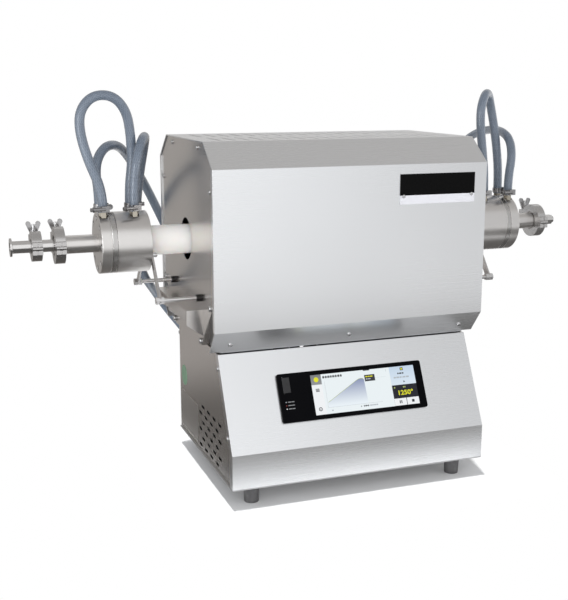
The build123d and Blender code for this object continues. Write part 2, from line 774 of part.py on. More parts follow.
def clamp_half(size, is_upper):
    """One half of the split ring, with its hinge knuckles in front and its bolt ear behind."""
    up = 1 if is_upper else -1
    half = clamp_width / 2
    rim = seal_gap / 2 + ferrule_rim + ferrule_clearance
    groove = size.od / 2 + ferrule_clearance
    lip = size.lip_radius
    flare = (groove - lip) * ferrule_slope
    with BuildPart() as ring:
        with BuildSketch(Plane(origin=(size.x, 0, tube_axis), x_dir=(1, 0, 0), z_dir=(0, -1, 0))):
            with BuildLine():
                Polyline((-half, size.ring_radius), (half, size.ring_radius), (half, lip),
                         (rim + flare, lip), (rim, groove), (-rim, groove), (-rim - flare, lip),
                         (-half, lip), close=True)
            make_face()
        revolve(axis=Axis((0, 0, tube_axis), (1, 0, 0)))
        ear_depth = size.bolt_y + ear_reach - (size.ring_radius - 6)
        with Locations((size.x, size.ring_radius - 6, tube_axis)):
            Box(clamp_width, ear_depth, size.ear_top,
                align=(Align.CENTER, Align.MIN, Align.MIN if is_upper else Align.MAX))
        with Locations((size.x, size.hinge_y - lug_proud, tube_axis)):
            Box(clamp_width, hinge_offset + lug_proud + 3, lug_height,
                align=(Align.CENTER, Align.MIN, Align.MIN if is_upper else Align.MAX))
            Box(lug_groove, 2 * lug_proud, 4 * lug_height, mode=Mode.SUBTRACT)
        with Locations(Location((size.x, size.hinge_y, tube_axis), (0, 90, 0))):
            Cylinder(knuckle_radius, clamp_width)
        with Locations((size.x, 0, tube_axis)):
            # The other half's side of the split, except at the knuckles.
            Box(2 * clamp_width, 2 * (size.ring_radius + 0.2), 4 * size.ring_radius, mode=Mode.SUBTRACT,
                align=(Align.CENTER, Align.CENTER, Align.MAX if is_upper else Align.MIN))
            Box(2 * clamp_width, 4 * size.ring_radius, 2 * split_gap, mode=Mode.SUBTRACT,
                align=(Align.CENTER, Align.MIN, Align.CENTER))
        with Locations((size.x, size.ring_radius, tube_axis)):
            Box(2 * clamp_width, 2 * ear_depth, 4 * size.ring_radius, mode=Mode.SUBTRACT,
                align=(Align.CENTER, Align.MIN, Align.MAX if is_upper else Align.MIN))
        # Room for the other half's knuckles: the upper half keeps the middle one.
        reach = knuckle_radius + 0.3
        if is_upper:
            for end in (-1, 1):
                start = size.x + end * (knuckle_split + (half - knuckle_split + 1) / 2)
                with Locations(Location((start, size.hinge_y, tube_axis), (0, 90, 0))):
                    Cylinder(reach, half - knuckle_split + 1, mode=Mode.SUBTRACT)
        else:
            with Locations(Location((size.x, size.hinge_y, tube_axis), (0, 90, 0))):
                Cylinder(reach, 2 * (knuckle_split + side_gap), mode=Mode.SUBTRACT)
        with Locations(Location((size.x, size.hinge_y, tube_axis), (0, 90, 0))):
            Cylinder(pin_radius + running, 2 * clamp_width, mode=Mode.SUBTRACT)
        # Slot for the swing bolt, open to the back.
        with Locations((size.x, size.bolt_y - bolt_slot / 2, tube_axis)):
            Box(bolt_slot, 4 * ear_reach, 4 * size.ear_top, align=(Align.CENTER, Align.MIN, Align.CENTER),
                mode=Mode.SUBTRACT)
        if not is_upper:
            with Locations((size.x, size.bolt_y, tube_axis - eye_drop)):
                Box(bolt_slot, 2 * (bolt_radius + 2.6), 4 * (bolt_radius + 2.6), mode=Mode.SUBTRACT)
            with Locations(Location((size.x, size.bolt_y, tube_axis - eye_drop), (0, 90, 0))):
                Cylinder(pin_radius, 2 * clamp_width, mode=Mode.SUBTRACT)
    return ring


def wing_nut(size):
    """Wing nut on top of its washer, its two dished wings along the tube."""
    base = tube_axis + size.ear_top + washer_thick

    def wing(end, shrink):
        with Locations((size.x + end * (wing_span - wing_tip_radius), base + wing_rise - wing_tip_radius)):
            Circle(wing_tip_radius - shrink)
        with Locations((size.x + end * 3.6, base + 3.5)):
            Circle(wing_root_radius - shrink)
        make_hull()

    with BuildPart() as nut:
        with Locations((size.x, size.bolt_y, base)):
            Cylinder(nut_hub_radius, nut_hub_height, align=(Align.CENTER, Align.CENTER, Align.MIN))
        for end in (-1, 1):
            with BuildSketch(Plane.XZ.offset(-size.bolt_y)):
                wing(end, 0)
            extrude(amount=wing_thick / 2, both=True)
            for face in (-1, 1):
                with BuildSketch(Plane.XZ.offset(-size.bolt_y + face * wing_thick / 2)):
                    wing(end, 1.3)
                    with Locations((size.x, base + nut_hub_height / 2)):
                        Rectangle(2 * nut_hub_radius, nut_hub_height, mode=Mode.SUBTRACT)
                extrude(amount=-face * wing_dish, mode=Mode.SUBTRACT)
        with Locations((size.x, size.bolt_y, base - 1)):
            Cylinder(bolt_radius + running, 3 * wing_rise, mode=Mode.SUBTRACT,
                     align=(Align.CENTER, Align.CENTER, Align.MIN))
    return nut


def clamp_washer(size):
    """Plain washer between the ear and the wing nut."""
    with BuildPart() as washer:
        with Locations((size.x, size.bolt_y, tube_axis + size.ear_top)):
            Cylinder(5.5, washer_thick, align=(Align.CENTER, Align.CENTER, Align.MIN))
            Cylinder(bolt_radius + running, 3 * washer_thick, mode=Mode.SUBTRACT)
    return washer


for word, size in clamp_sizes.items():
    keep(f"{word}_upper", clamp_half(size, True))
    keep(f"{word}_washer", clamp_washer(size))
    keep(f"{word}_wing_nut", wing_nut(size))

keep_group("clamp_lower_halves", *[clamp_half(size, False) for size in clamp_sizes.values()])

with BuildPart() as swing_bolts:
    for size in clamp_sizes.values():
        foot = tube_axis - eye_drop
        top = tube_axis + size.ear_top + washer_thick + nut_hub_height + nut_travel + 1
        with Locations((size.x, size.bolt_y, foot)):
            Cylinder(bolt_radius, top - foot, align=(Align.CENTER, Align.CENTER, Align.MIN))
        with Locations(Location((size.x, size.bolt_y, foot), (0, 90, 0))):
            Cylinder(bolt_radius + 2, bolt_slot - 2 * split_gap)
            Cylinder(pin_radius, 4 * bolt_radius, mode=Mode.SUBTRACT)
with BuildPart() as clamp_pins:
    for size in clamp_sizes.values():
        for y, z in ((size.hinge_y, tube_axis), (size.bolt_y, tube_axis - eye_drop)):
            with Locations(Location((size.x, y, z), (0, 90, 0))):
                Cylinder(pin_radius, clamp_width)
# ---------------------------------------------------------------- control cabinet
cabinet_flange = 14.0
cabinet_outline = [(-cabinet_front, cabinet_floor), (-cabinet_front, apron_top), (-waist_half, waist_height),
                   (cabinet_back, waist_height), (cabinet_back, cabinet_floor)]
cabinet_inside = inset_points(cabinet_outline, sheet)
slope_run = cabinet_front - waist_half
slope_rise = waist_height - apron_top
slope_length = hypot(slope_run, slope_rise)
slope_out = (0, -slope_rise / slope_length, slope_run / slope_length)
slope = Plane(origin=(0, -waist_half, waist_height), x_dir=(1, 0, 0), z_dir=slope_out)
bezel_width, bezel_height, bezel_thick = 262.0, 81.5, 4.0
bezel_centre = (-3.0, -85.3)
housing_width, housing_height, housing_depth = 246.0, 66.0, 42.0
cabinet_screw_spots = [(-141.0, 215.0), (-193.0, 113.0)]

with BuildPart() as cabinet_front_panel:
    add(prism(cabinet_outline, across(cabinet_half), 2 * cabinet_half))
    add(prism(inset_points(cabinet_outline, sheet), across(cabinet_half), 2 * cabinet_half),
        mode=Mode.SUBTRACT)
    # Keep only the apron and the slope from the closed section.
    with Locations((0, -cabinet_front, cabinet_floor + sheet)):
        Box(2 * cabinet_half, slope_run + sheet / 2, slope_rise + apron_top,
            align=(Align.CENTER, Align.MIN, Align.MIN), mode=Mode.INTERSECT)
    with Locations((0, 0, waist_height)):
        Box(2 * cabinet_half, 2 * cabinet_front, 2 * sheet + gap, mode=Mode.SUBTRACT)
    for start in (-cabinet_half, cabinet_half - sheet):
        flange = prism(cabinet_outline, Plane.YZ.offset(start), sheet)
        inner = [(y + cabinet_flange, z) for y, z in cabinet_outline[:3]]
        flange -= prism([*inner, (2 * cabinet_back, waist_height), (2 * cabinet_back, cabinet_floor)],
                        Plane.YZ.offset(start), sheet)
        add(flange & Pos(0, 0, cabinet_floor + sheet)
            * Box(4 * cabinet_half, 4 * cabinet_half, waist_height - cabinet_floor - 2 * sheet - gap,
                  align=(Align.CENTER, Align.CENTER, Align.MIN), mode=Mode.PRIVATE))
    with BuildSketch(slope):
        with Locations(bezel_centre):
            Rectangle(housing_width + 2 * gap, housing_height + 2 * gap)
    extrude(amount=-4 * sheet, mode=Mode.SUBTRACT)
    with BuildSketch(across(cabinet_half)):
        with Locations(*cabinet_screw_spots):
            Circle(screw_hole / 2)
    extrude(amount=2 * cabinet_half, mode=Mode.SUBTRACT)
keep("cabinet_front_panel", cabinet_front_panel)

vent_pitch_y, vent_pitch_z = 34.0, 14.6
vent_length, vent_height = 20.0, 6.0
vent_rows = 6
vent_first = (-21.0, 118.0)
vent_columns = 4


def cabinet_side(side):
    """Side wall of the cabinet with rows of staggered vent slots."""
    outer = wall_outer
    with BuildPart() as wall:
        start = end_plane(side, outer - sheet if side > 0 else outer)
        add(prism(cabinet_inside, start, sheet))
        with BuildSketch(end_plane(side, 0)):
            for row in range(vent_rows):
                shift = vent_pitch_y / 2 if row % 2 == 0 else 0
                for column in range(vent_columns):
                    y = vent_first[0] - shift - column * vent_pitch_y
                    with Locations((y, vent_first[1] - row * vent_pitch_z)):
                        SlotOverall(vent_length, vent_height)
            with Locations(*cabinet_screw_spots):
                Circle(screw_hole / 2)
        extrude(amount=side * 2 * cabinet_half, mode=Mode.SUBTRACT)
    return wall


keep_group("cabinet_sides", cabinet_side(-1), cabinet_side(1))

fan_size, fan_depth = 80.0, 25.0
fan_centre = (0.0, 140.0)
fan_bore = 37.5
gland_spot = (110.0, 70.0)
gland_thread = 20.0
rear_half = wall_outer
with BuildPart() as cabinet_rear_panel:
    with Locations((0, cabinet_back, cabinet_floor + sheet)):
        Box(2 * rear_half, sheet, waist_height - cabinet_floor - 2 * sheet,
            align=(Align.CENTER, Align.MAX, Align.MIN))
    with BuildSketch(Plane.XZ.offset(-cabinet_back)):
        with Locations(fan_centre):
            Circle(fan_bore)
        with Locations(gland_spot):
            Circle(gland_thread / 2)
        with Locations(*[(x, rear_port_height) for x in rear_port_x]):
            Circle(port_hole / 2)
        with Locations((-180, 225), (0, 225), (180, 225), (-180, 50), (180, 50)):
            Circle(screw_hole / 2)
    extrude(amount=2 * sheet, mode=Mode.SUBTRACT)
keep("cabinet_rear_panel", cabinet_rear_panel)

tray_half = wall_outer - sheet
foot_spots = [(x, y) for x in (-185.0, 185.0) for y in (-187.0, 88.0)]
with BuildPart() as cabinet_tray:
    with Locations((0, -cabinet_front, cabinet_floor)):
        Box(2 * cabinet_half, cabinet_front + cabinet_back, sheet, align=(Align.CENTER, Align.MIN, Align.MIN))
    with Locations((0, -cabinet_front + sheet, cabinet_floor)):
        Box(2 * tray_half, sheet, 16, align=(Align.CENTER, Align.MIN, Align.MIN))
    with Locations((0, cabinet_back - 2 * sheet, cabinet_floor)):
        Box(2 * tray_half, sheet, 16, align=(Align.CENTER, Align.MIN, Align.MIN))
    with Locations(*[(x, y, cabinet_floor + sheet) for x, y in foot_spots]):
        Hole(2.6, depth=2 * sheet)
keep("cabinet_tray", cabinet_tray)

foot_radius = 13.5
with BuildPart() as feet:
    for x, y in foot_spots:
        with Locations((x, y, 0)):
            Cone(foot_radius - 1.5, foot_radius, cabinet_floor, align=(Align.CENTER, Align.CENTER, Align.MIN))
            Cylinder(2.6, cabinet_floor, align=(Align.CENTER, Align.CENTER, Align.MIN), mode=Mode.SUBTRACT)
            Cylinder(6, 12, align=(Align.CENTER, Align.CENTER, Align.MIN), mode=Mode.SUBTRACT)
keep("feet", feet)

with BuildPart() as foot_screws:
    for x, y in foot_spots:
        with Locations((x, y, 12)):
            Cylinder(2.5, cabinet_floor - 12 + sheet, align=(Align.CENTER, Align.CENTER, Align.MIN))
            Cylinder(5, 4, align=(Align.CENTER, Align.CENTER, Align.MAX))
        with Locations((x, y, cabinet_floor + sheet)):
            Cylinder(5, 4, align=(Align.CENTER, Align.CENTER, Align.MIN))

# ---------------------------------------------------------------- controller
screen_width, screen_height, screen_thick = 191.0, 67.5, 1.5
screen_centre = (19.5, -85.3)
flap_left, flap_width, flap_length, flap_thick = -126.0, 13.4, 26.0, 2.2
flap_middle = -64.0
flap_gap = 0.3
flap_pin_radius = 0.6
flap_barrel = flap_thick / 2
flap_axis_x = flap_left + flap_gap + flap_barrel
flap_axis_out = bezel_thick - flap_barrel
socket_width, socket_height = 6.0, 13.0
flap_axis_dir = tuple(-v for v in slope.y_dir)
flap_axis_point = tuple(slope.from_local_coords(Vector(flap_axis_x, flap_middle, flap_axis_out)))


def slope_box(x, y, low, high, width, height, corner=0.0):
    """A private block on the sloped panel, from low to high along its normal."""
    with BuildPart() as block:
        with BuildSketch(slope.offset(low)):
            with Locations((x, y)):
                if corner > 0:
                    RectangleRounded(width, height, corner)
                else:
                    Rectangle(width, height)
        extrude(amount=high - low)
    return block.part


flap_along = slope.location * Location((flap_axis_x, flap_middle, flap_axis_out), (90, 0, 0))
with BuildPart() as controller_bezel:
    add(slope_box(*bezel_centre, 0, bezel_thick, bezel_width, bezel_height, 4))
    add(slope_box(*screen_centre, bezel_thick - screen_thick, bezel_thick, screen_width, screen_height),
        mode=Mode.SUBTRACT)
    flap_x = flap_left + flap_width / 2
    add(slope_box(flap_x, flap_middle, bezel_thick - flap_thick - 0.3, bezel_thick, flap_width, flap_length),
        mode=Mode.SUBTRACT)
    add(slope_box(flap_x + 1.5, flap_middle, 0, bezel_thick, socket_width, socket_height),
        mode=Mode.SUBTRACT)
    with Locations(flap_along):
        Cylinder(flap_pin_radius, flap_length + 6, mode=Mode.SUBTRACT)
keep("controller_bezel", controller_bezel)

with BuildPart() as touch_screen:
    add(slope_box(*screen_centre, bezel_thick - screen_thick, bezel_thick, screen_width, screen_height))
keep("touch_screen", touch_screen)

with BuildPart() as controller_housing:
    add(slope_box(*bezel_centre, -housing_depth, 0, housing_width, housing_height))
    add(slope_box(*bezel_centre, -housing_depth + sheet, 0, housing_width - 2 * sheet,
                  housing_height - 2 * sheet), mode=Mode.SUBTRACT)

with BuildPart() as controller_board:
    add(slope_box(*bezel_centre, -14, -12.4, housing_width - 2 * sheet - 2, housing_height - 2 * sheet - 2))
    add(slope_box(20, -85.3, -12.4, -6, 180, 50))
with BuildPart() as usb_socket:
    add(slope_box(flap_x + 1.5, flap_middle, -12.4, bezel_thick - flap_thick - 0.6,
                  socket_width, socket_height))
    add(slope_box(flap_x + 1.5, flap_middle, -10, bezel_thick, socket_width - 0.8, socket_height - 0.8),
        mode=Mode.SUBTRACT)
    add(slope_box(flap_x + 1.5, flap_middle, -10, bezel_thick - flap_thick - 1.6, 1.8, socket_height - 1.6))
keep_group("controller_housing", controller_housing, controller_board, usb_socket)

with BuildPart() as usb_flap:
    add(slope_box(flap_axis_x + (flap_width - 2 * flap_gap - flap_barrel) / 2, flap_middle,
                  bezel_thick - flap_thick, bezel_thick,
                  flap_width - 2 * flap_gap - flap_barrel, flap_length - 2 * flap_gap))
    with Locations(flap_along):
        Cylinder(flap_barrel, flap_length - 2 * flap_gap)
        Cylinder(flap_pin_radius + running, flap_length, mode=Mode.SUBTRACT)
keep("usb_flap", usb_flap)

with BuildPart() as usb_flap_pin:
    with Locations(flap_along):
        Cylinder(flap_pin_radius, flap_length + 6)
keep_group("swing_bolts_and_hinge_pins", swing_bolts, clamp_pins, usb_flap_pin)

# ---------------------------------------------------------------- inside the cabinet
tray_top = cabinet_floor + sheet
with BuildPart() as transformer_core:
    with Locations((-115, -20, tray_top + 4)):
        Box(120, 56, 110, align=(Align.CENTER, Align.CENTER, Align.MIN))
    with Locations((-115 - 31, -20, tray_top + 4 + 24), (-115 + 31, -20, tray_top + 4 + 24)):
        Box(26, 56, 62, align=(Align.CENTER, Align.CENTER, Align.MIN), mode=Mode.SUBTRACT)
    with Locations((-115, -20, tray_top)):
        Box(120, 80, 4, align=(Align.CENTER, Align.CENTER, Align.MIN))
with BuildPart() as transformer_winding:
    with Locations((-115, -20, tray_top + 4 + 24)):
        Box(36 + 2 * 25, 90, 62, align=(Align.CENTER, Align.CENTER, Align.MIN))
        Box(36, 56, 62, align=(Align.CENTER, Align.CENTER, Align.MIN), mode=Mode.SUBTRACT)
    fillet(transformer_winding.edges().filter_by(Axis.Z).group_by(Axis.X)[0], 8)
    fillet(transformer_winding.edges().filter_by(Axis.Z).group_by(Axis.X)[-1], 8)
keep_group("transformer", transformer_core, transformer_winding)

heatsink_place = (60.0, -60.0)
with BuildPart() as power_controller:
    with Locations((*heatsink_place, tray_top)):
        Box(90, 80, 8, align=(Align.CENTER, Align.CENTER, Align.MIN))
        with GridLocations(10, 0, 9, 1):
            Box(2, 80, 40, align=(Align.CENTER, Align.CENTER, Align.MIN))
    with Locations((*heatsink_place, tray_top + 40)):
        Box(90, 60, 5, align=(Align.CENTER, Align.CENTER, Align.MIN))
        Box(46, 58, 32, align=(Align.CENTER, Align.CENTER, Align.MIN))
keep("power_controller", power_controller)

with BuildPart() as contactor:
    with Locations((160, -60, tray_top)):
        Box(45, 75, 80, align=(Align.CENTER, Align.CENTER, Align.MIN))
        with Locations((0, 0, 65)):
            Box(46, 45, 20, align=(Align.CENTER, Align.CENTER, Align.MIN), mode=Mode.SUBTRACT)
            Box(30, 45, 22, align=(Align.CENTER, Align.CENTER, Align.MIN))
with BuildPart() as terminal_block:
    with Locations((130, 40, tray_top)):
        Box(120, 34, 12, align=(Align.CENTER, Align.CENTER, Align.MIN))
        with GridLocations(15, 0, 8, 1):
            Box(13.5, 34, 34, align=(Align.CENTER, Align.CENTER, Align.MIN))
keep_group("contactor_and_terminals", contactor, terminal_block)

fan_back = cabinet_back - sheet - fan_depth
with BuildPart() as fan_frame:
    with BuildSketch(Plane.XZ.offset(-fan_back)):
        with Locations(fan_centre):
            RectangleRounded(fan_size, fan_size, 4)
            Circle(fan_bore, mode=Mode.SUBTRACT)
            with GridLocations(71.5, 71.5, 2, 2):
                Circle(2.2, mode=Mode.SUBTRACT)
    extrude(amount=-fan_depth)
    with BuildSketch(Plane.XZ.offset(-fan_back)):
        with Locations(fan_centre):
            Circle(15)
            with PolarLocations(0, 3):
                with Locations((25, 0)):
                    Rectangle(30, 5)
    extrude(amount=-3)
    with BuildSketch(Plane.XZ.offset(-fan_back - 3)):
        with Locations(fan_centre):
            Circle(3)
    extrude(amount=-14)
fan_blades = 7
with BuildPart() as fan_rotor:
    with BuildSketch(Plane.XZ.offset(-fan_back - 4)):
        with Locations(fan_centre):
            Circle(16)
    extrude(amount=-18)
    with BuildSketch(Plane.XZ.offset(-fan_back - 4)):
        with Locations(fan_centre):
            Circle(3 + running)
    extrude(amount=-14, mode=Mode.SUBTRACT)
    blade_plane = Plane(origin=(fan_centre[0], fan_back + 13, fan_centre[1]),
                        x_dir=(0, 1, 0), z_dir=(0, 0, 1))
    with BuildPart(mode=Mode.PRIVATE) as blade:
        with BuildSketch(blade_plane.offset(15)):
            Rectangle(20, 2.4, rotation=48)
        extrude(amount=21)
    for turn in range(fan_blades):
        spin = Axis((fan_centre[0], 0, fan_centre[1]), (0, 1, 0))
        add(blade.part.rotate(spin, turn * 360 / fan_blades))
keep("fan_rotor", fan_rotor)

with BuildPart() as fan_guard:
    with BuildSketch(Plane.XZ.offset(-cabinet_back)):
        with Locations(fan_centre):
            for ring_radius in (12, 21, 30, 39):
                Circle(ring_radius + 1)
                Circle(ring_radius - 1, mode=Mode.SUBTRACT)
            with PolarLocations(0, 4, start_angle=45):
                with Locations((30, 0)):
                    Rectangle(38, 2.4)
            with GridLocations(71.5, 71.5, 2, 2):
                Circle(4)
    extrude(amount=-2)
keep_group("fan_frame_and_guard", fan_frame, fan_guard)

gland_bore = 12.0
with BuildPart() as mains_gland:
    with BuildSketch(Plane.XZ.offset(-cabinet_back)):
        with Locations(gland_spot):
            RegularPolygon(13, 6, major_radius=False)
    extrude(amount=-8)
    with BuildSketch(Plane.XZ.offset(-cabinet_back - 8)):
        with Locations(gland_spot):
            Circle(11)
    extrude(amount=-12)
    with BuildSketch(Plane.XZ.offset(-cabinet_back + 12)):
        with Locations(gland_spot):
            Circle(gland_thread / 2)
    extrude(amount=-12)
    with BuildSketch(Plane.XZ.offset(-cabinet_back + sheet + 5)):
        with Locations(gland_spot):
            RegularPolygon(13, 6, major_radius=False)
    extrude(amount=-5)
    with BuildSketch(Plane.XZ.offset(-cabinet_back + 12)):
        with Locations(gland_spot):
            Circle(gland_bore / 2)
    extrude(amount=-40, mode=Mode.SUBTRACT)
keep("mains_gland", mains_gland)

# ---------------------------------------------------------------- screws and nameplate
head_radius, head_height, shank_radius, shank_length = 4.0, 2.4, 2.0, 6.0
bolt_head_radius, bolt_head_height = 5.0, 4.5
arm_bolt_radius, arm_bolt_head = 4.0, 8.5


def screw(head_r, head_h, shank_r, shank_l):
    """A private screw whose head stands on the origin's XY plane, shank downwards."""
    with BuildPart() as fastener:
        Cylinder(head_r, head_h, align=(Align.CENTER, Align.CENTER, Align.MIN))
        fillet(fastener.faces().sort_by(Axis.Z)[-1].edges(), head_h * 0.45)
        with BuildSketch(Plane.XY.offset(head_h)):
            RegularPolygon(head_r * 0.35, 6, major_radius=False)
        extrude(amount=-head_h * 0.6, mode=Mode.SUBTRACT)
        Cylinder(shank_r, shank_l, align=(Align.CENTER, Align.CENTER, Align.MAX))
    return fastener.part


small_screw = screw(head_radius, head_height, shank_radius, shank_length)
with BuildPart() as panel_screws:
    for chamfer in (chamfer_front, chamfer_rear):
        with Locations(chamfer):
            with Locations(*chamfer_spots):
                add(small_screw)
    for side in (-1, 1):
        for y, z in end_screw_spots:
            with Locations(Location((side * end_panel_outer, y, z), (0, side * 90, 0))):
                add(small_screw)
        for y, z in cabinet_screw_spots:
            with Locations(Location((side * cabinet_half, y, z), (0, side * 90, 0))):
                add(small_screw)
    for x, z in ((-180, 225), (0, 225), (180, 225), (-180, 50), (180, 50)):
        with Locations(Location((x, cabinet_back, z), (-90, 0, 0))):
            add(small_screw)
end_bolt = screw(bolt_head_radius, bolt_head_height, bolt_od / 2, end_air_gap + 3 * sheet)
with BuildPart() as panel_bolts:
    for side in (-1, 1):
        for y, z in end_bolt_spots:
            with Locations(Location((side * end_panel_outer, y, z), (0, side * 90, 0))):
                add(end_bolt)
        for y in (-arm_top_y, arm_top_y):
            with Locations(Location((side * arm_inner, y, arm_top_height), (0, -side * 90, 0))):
                add(screw(arm_bolt_radius, arm_bolt_head, bolt_od / 2, arm_thick + 8))
keep_group("bolts", cap_bolts, panel_bolts)

with BuildPart() as nameplate:
    with Locations((nameplate_centre[0], -body_depth_half, nameplate_centre[1])):
        Box(nameplate_width, nameplate_thick, nameplate_height, align=(Align.CENTER, Align.MAX, Align.CENTER))
    with BuildSketch(Plane.XZ.offset(body_depth_half)):
        with Locations(*nameplate_spots):
            Circle(1.6)
    extrude(amount=2 * nameplate_thick, mode=Mode.SUBTRACT)
keep("nameplate", nameplate)

with BuildPart() as nameplate_screws:
    for x, z in nameplate_spots:
        with Locations(Location((x, -body_depth_half - nameplate_thick, z), (90, 0, 0))):
            add(screw(3.0, 1.6, 1.5, 5))
keep_group("screws", panel_screws, foot_screws, nameplate_screws)

# ---------------------------------------------------------------- cooling hoses
seat = barb_seat
cap_l, body_l, cap_r, body_r = -cap_port, -body_port, cap_port, body_port
front, back = -port_offset, port_offset
hose_routes = {
    "hose_left_jumper": [
        (cap_l, front, seat), (cap_l, front, 498), (-401, -15, 545), (-413, -10, 592), (-411, -6, 627),
        (-388, -2, 651), (-354, 4, 650), (-332, 11, 625), (-325, 17, 588), (-323, 21, 540),
        (body_l, back, 498), (body_l, back, seat)],
    "hose_left_cap_return": [
        (cap_l, back, seat), (cap_l, back, 494), (-385, 21, 524), (-379, 30, 549), (-361, 47, 567),
        (-336, 78, 566), (-313, 115, 547), (-292, 150, 520), (-269, 182, 488), (-245, 202, 445),
        (-221, 210, 395), (-199, 210, 350), (-182, 207, 307), (-173, 197, 270), (-166, 199, 241),
        (-160, 185, 215), (-156, 159, 200), (-156, rear_seat, 200)],
    "hose_left_body_supply": [
        (body_l, front, seat), (body_l, front, 498), (-325, -20, 542), (-310, 2, 577), (-294, 45, 584),
        (-289, 84, 560), (-295, 97, 515), (-302, 100, 458), (-303, 104, 404), (-298, 113, 360),
        (-286, 132, 325), (-268, 162, 301), (-251, 194, 279), (-235, 206, 256), (-218, 202, 232),
        (-204, 186, 212), (-196, 159, 200), (-196, rear_seat, 200)],
    "hose_right_jumper": [
        (body_r, front, seat), (body_r, front, 500), (321, -22, 548), (313, -25, 592), (313, -24, 626),
        (330, -9, 650), (351, 15, 651), (366, 30, 627), (374, 29, 592), (380, 24, 545),
        (cap_r, back, 500), (cap_r, back, seat)],
    "hose_right_cap_return": [
        (cap_r, front, seat), (cap_r, front, 497), (388, -17, 534), (397, 6, 565), (401, 45, 580),
        (404, 98, 580), (403, 155, 568), (390, 205, 532), (355, 237, 482), (312, 245, 425),
        (275, 243, 370), (246, 232, 318), (230, 200, 269), (216, 202, 240), (203, 186, 215),
        (196, 159, 200), (196, rear_seat, 200)],
    "hose_right_body_supply": [
        (body_r, back, seat), (body_r, back, 492), (324, 40, 521), (314, 74, 535), (304, 110, 524),
        (294, 146, 499), (281, 182, 460), (258, 208, 405), (227, 212, 350), (200, 209, 303),
        (176, 200, 268), (168, 200, 239), (160, 185, 214), (156, 159, 200), (156, rear_seat, 200)],
}


def bend_radii(points):
    """Largest tangent arc at each inner point that its two runs allow."""
    radii = []
    for before, here, after in zip(points, points[1:], points[2:]):
        run_in, run_out = Vector(here) - Vector(before), Vector(after) - Vector(here)
        turn = radians(run_in.get_angle(run_out))
        radii.append(0.45 * min(run_in.length, run_out.length) / tan(turn / 2))
    return radii


def hose(name, points):
    """A plain round tube along its route."""
    radii = bend_radii(points)
    with BuildPart() as tube:
        with BuildLine() as route:
            FilletPolyline(*points, radius=radii)
        length = route.wire().length
        start = Plane(origin=points[0], z_dir=Vector(points[1]) - Vector(points[0]))
        with BuildSketch(start):
            Circle(hose_od / 2)
        sweep(path=route.wire())
    ideal = pi * hose_od ** 2 / 4 * length
    print(f"{name}: length {length:.0f}, least radius {min(radii):.0f}, radii "
          f"{[round(r) for r in radii]}, volume ratio {tube.part.volume / ideal:.4f}")
    return tube


for name, points in hose_routes.items():
    keep(name, hose(name, points))

clamp_ring_radius, clamp_band_width = 9.4, 8.0
worm_radius, worm_reach, worm_head = 3.6, 20.0, 5.0
clamp_inset = 6.0           # of the band's middle from the hose's end


def hose_clamp():
    """A private worm-drive clamp about the origin: band, screw housing, collar and hexagon screw."""
    worm_y = -clamp_ring_radius - 2.4
    with BuildPart() as band:
        Cylinder(clamp_ring_radius, clamp_band_width)
        Cylinder(hose_od / 2, 2 * clamp_band_width, mode=Mode.SUBTRACT)
        with Locations((0, worm_y + 0.2, 0)):
            Box(13, 5.6, clamp_band_width + 2)
        with Locations(Location((-worm_reach / 2, worm_y, 0), (0, 90, 0))):
            Cylinder(worm_radius, worm_reach)
        with Locations(Location((-worm_reach, worm_y, 0), (0, 90, 0))):
            Cylinder(worm_radius + 1.1, 1.4)
        with BuildSketch(Plane(origin=(-worm_reach, worm_y, 0), x_dir=(0, 1, 0), z_dir=(-1, 0, 0))):
            RegularPolygon(worm_radius, 6)
        extrude(amount=worm_head)
    return band.part


clamp_height = seat + clamp_inset
with BuildPart() as hose_clamps:
    for side in (-1, 1):
        for port, front_turn, back_turn in ((cap_port, 10, 100), (body_port, 15, 170)):
            for y, turn in ((front, front_turn), (back, back_turn)):
                with Locations(Location((side * port, y, clamp_height), (0, 0, turn))):
                    add(hose_clamp())
    for x in rear_port_x:
        with Locations(Location((x, rear_seat + clamp_inset, rear_port_height), (-90, 0, 0))):
            add(hose_clamp())
keep("hose_clamps", hose_clamps)

# ---------------------------------------------------------------- origin and output
standing = Compound(children=[part.moved(Location()) for name, part in pieces.items()
                              if name not in hose_routes])
box = standing.bounding_box()
to_origin = (-(box.min.X + box.max.X) / 2, -(box.min.Y + box.max.Y) / 2, 0)

for name, part in pieces.items():
    placed = part.moved(Location(to_origin))
    placed.label = name
    export_step(placed, f"parts/{name}.step")
print(f"{len(pieces)} pieces, moved by {to_origin[0]:.3f}, {to_origin[1]:.3f}")
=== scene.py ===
"""A bench tube furnace: sheet-metal body on a control cabinet, ceramic tube, cooled flanges, hoses.

The solids come from the frame. This script gives them their finishes and adds what is soft, printed
or too fine for them. Metres; +X along the tube, +Y to the back, +Z up from the bench.
"""

from math import cos, pi, radians, sin

import bmesh
import bpy
from mathutils import Euler, Matrix, Vector


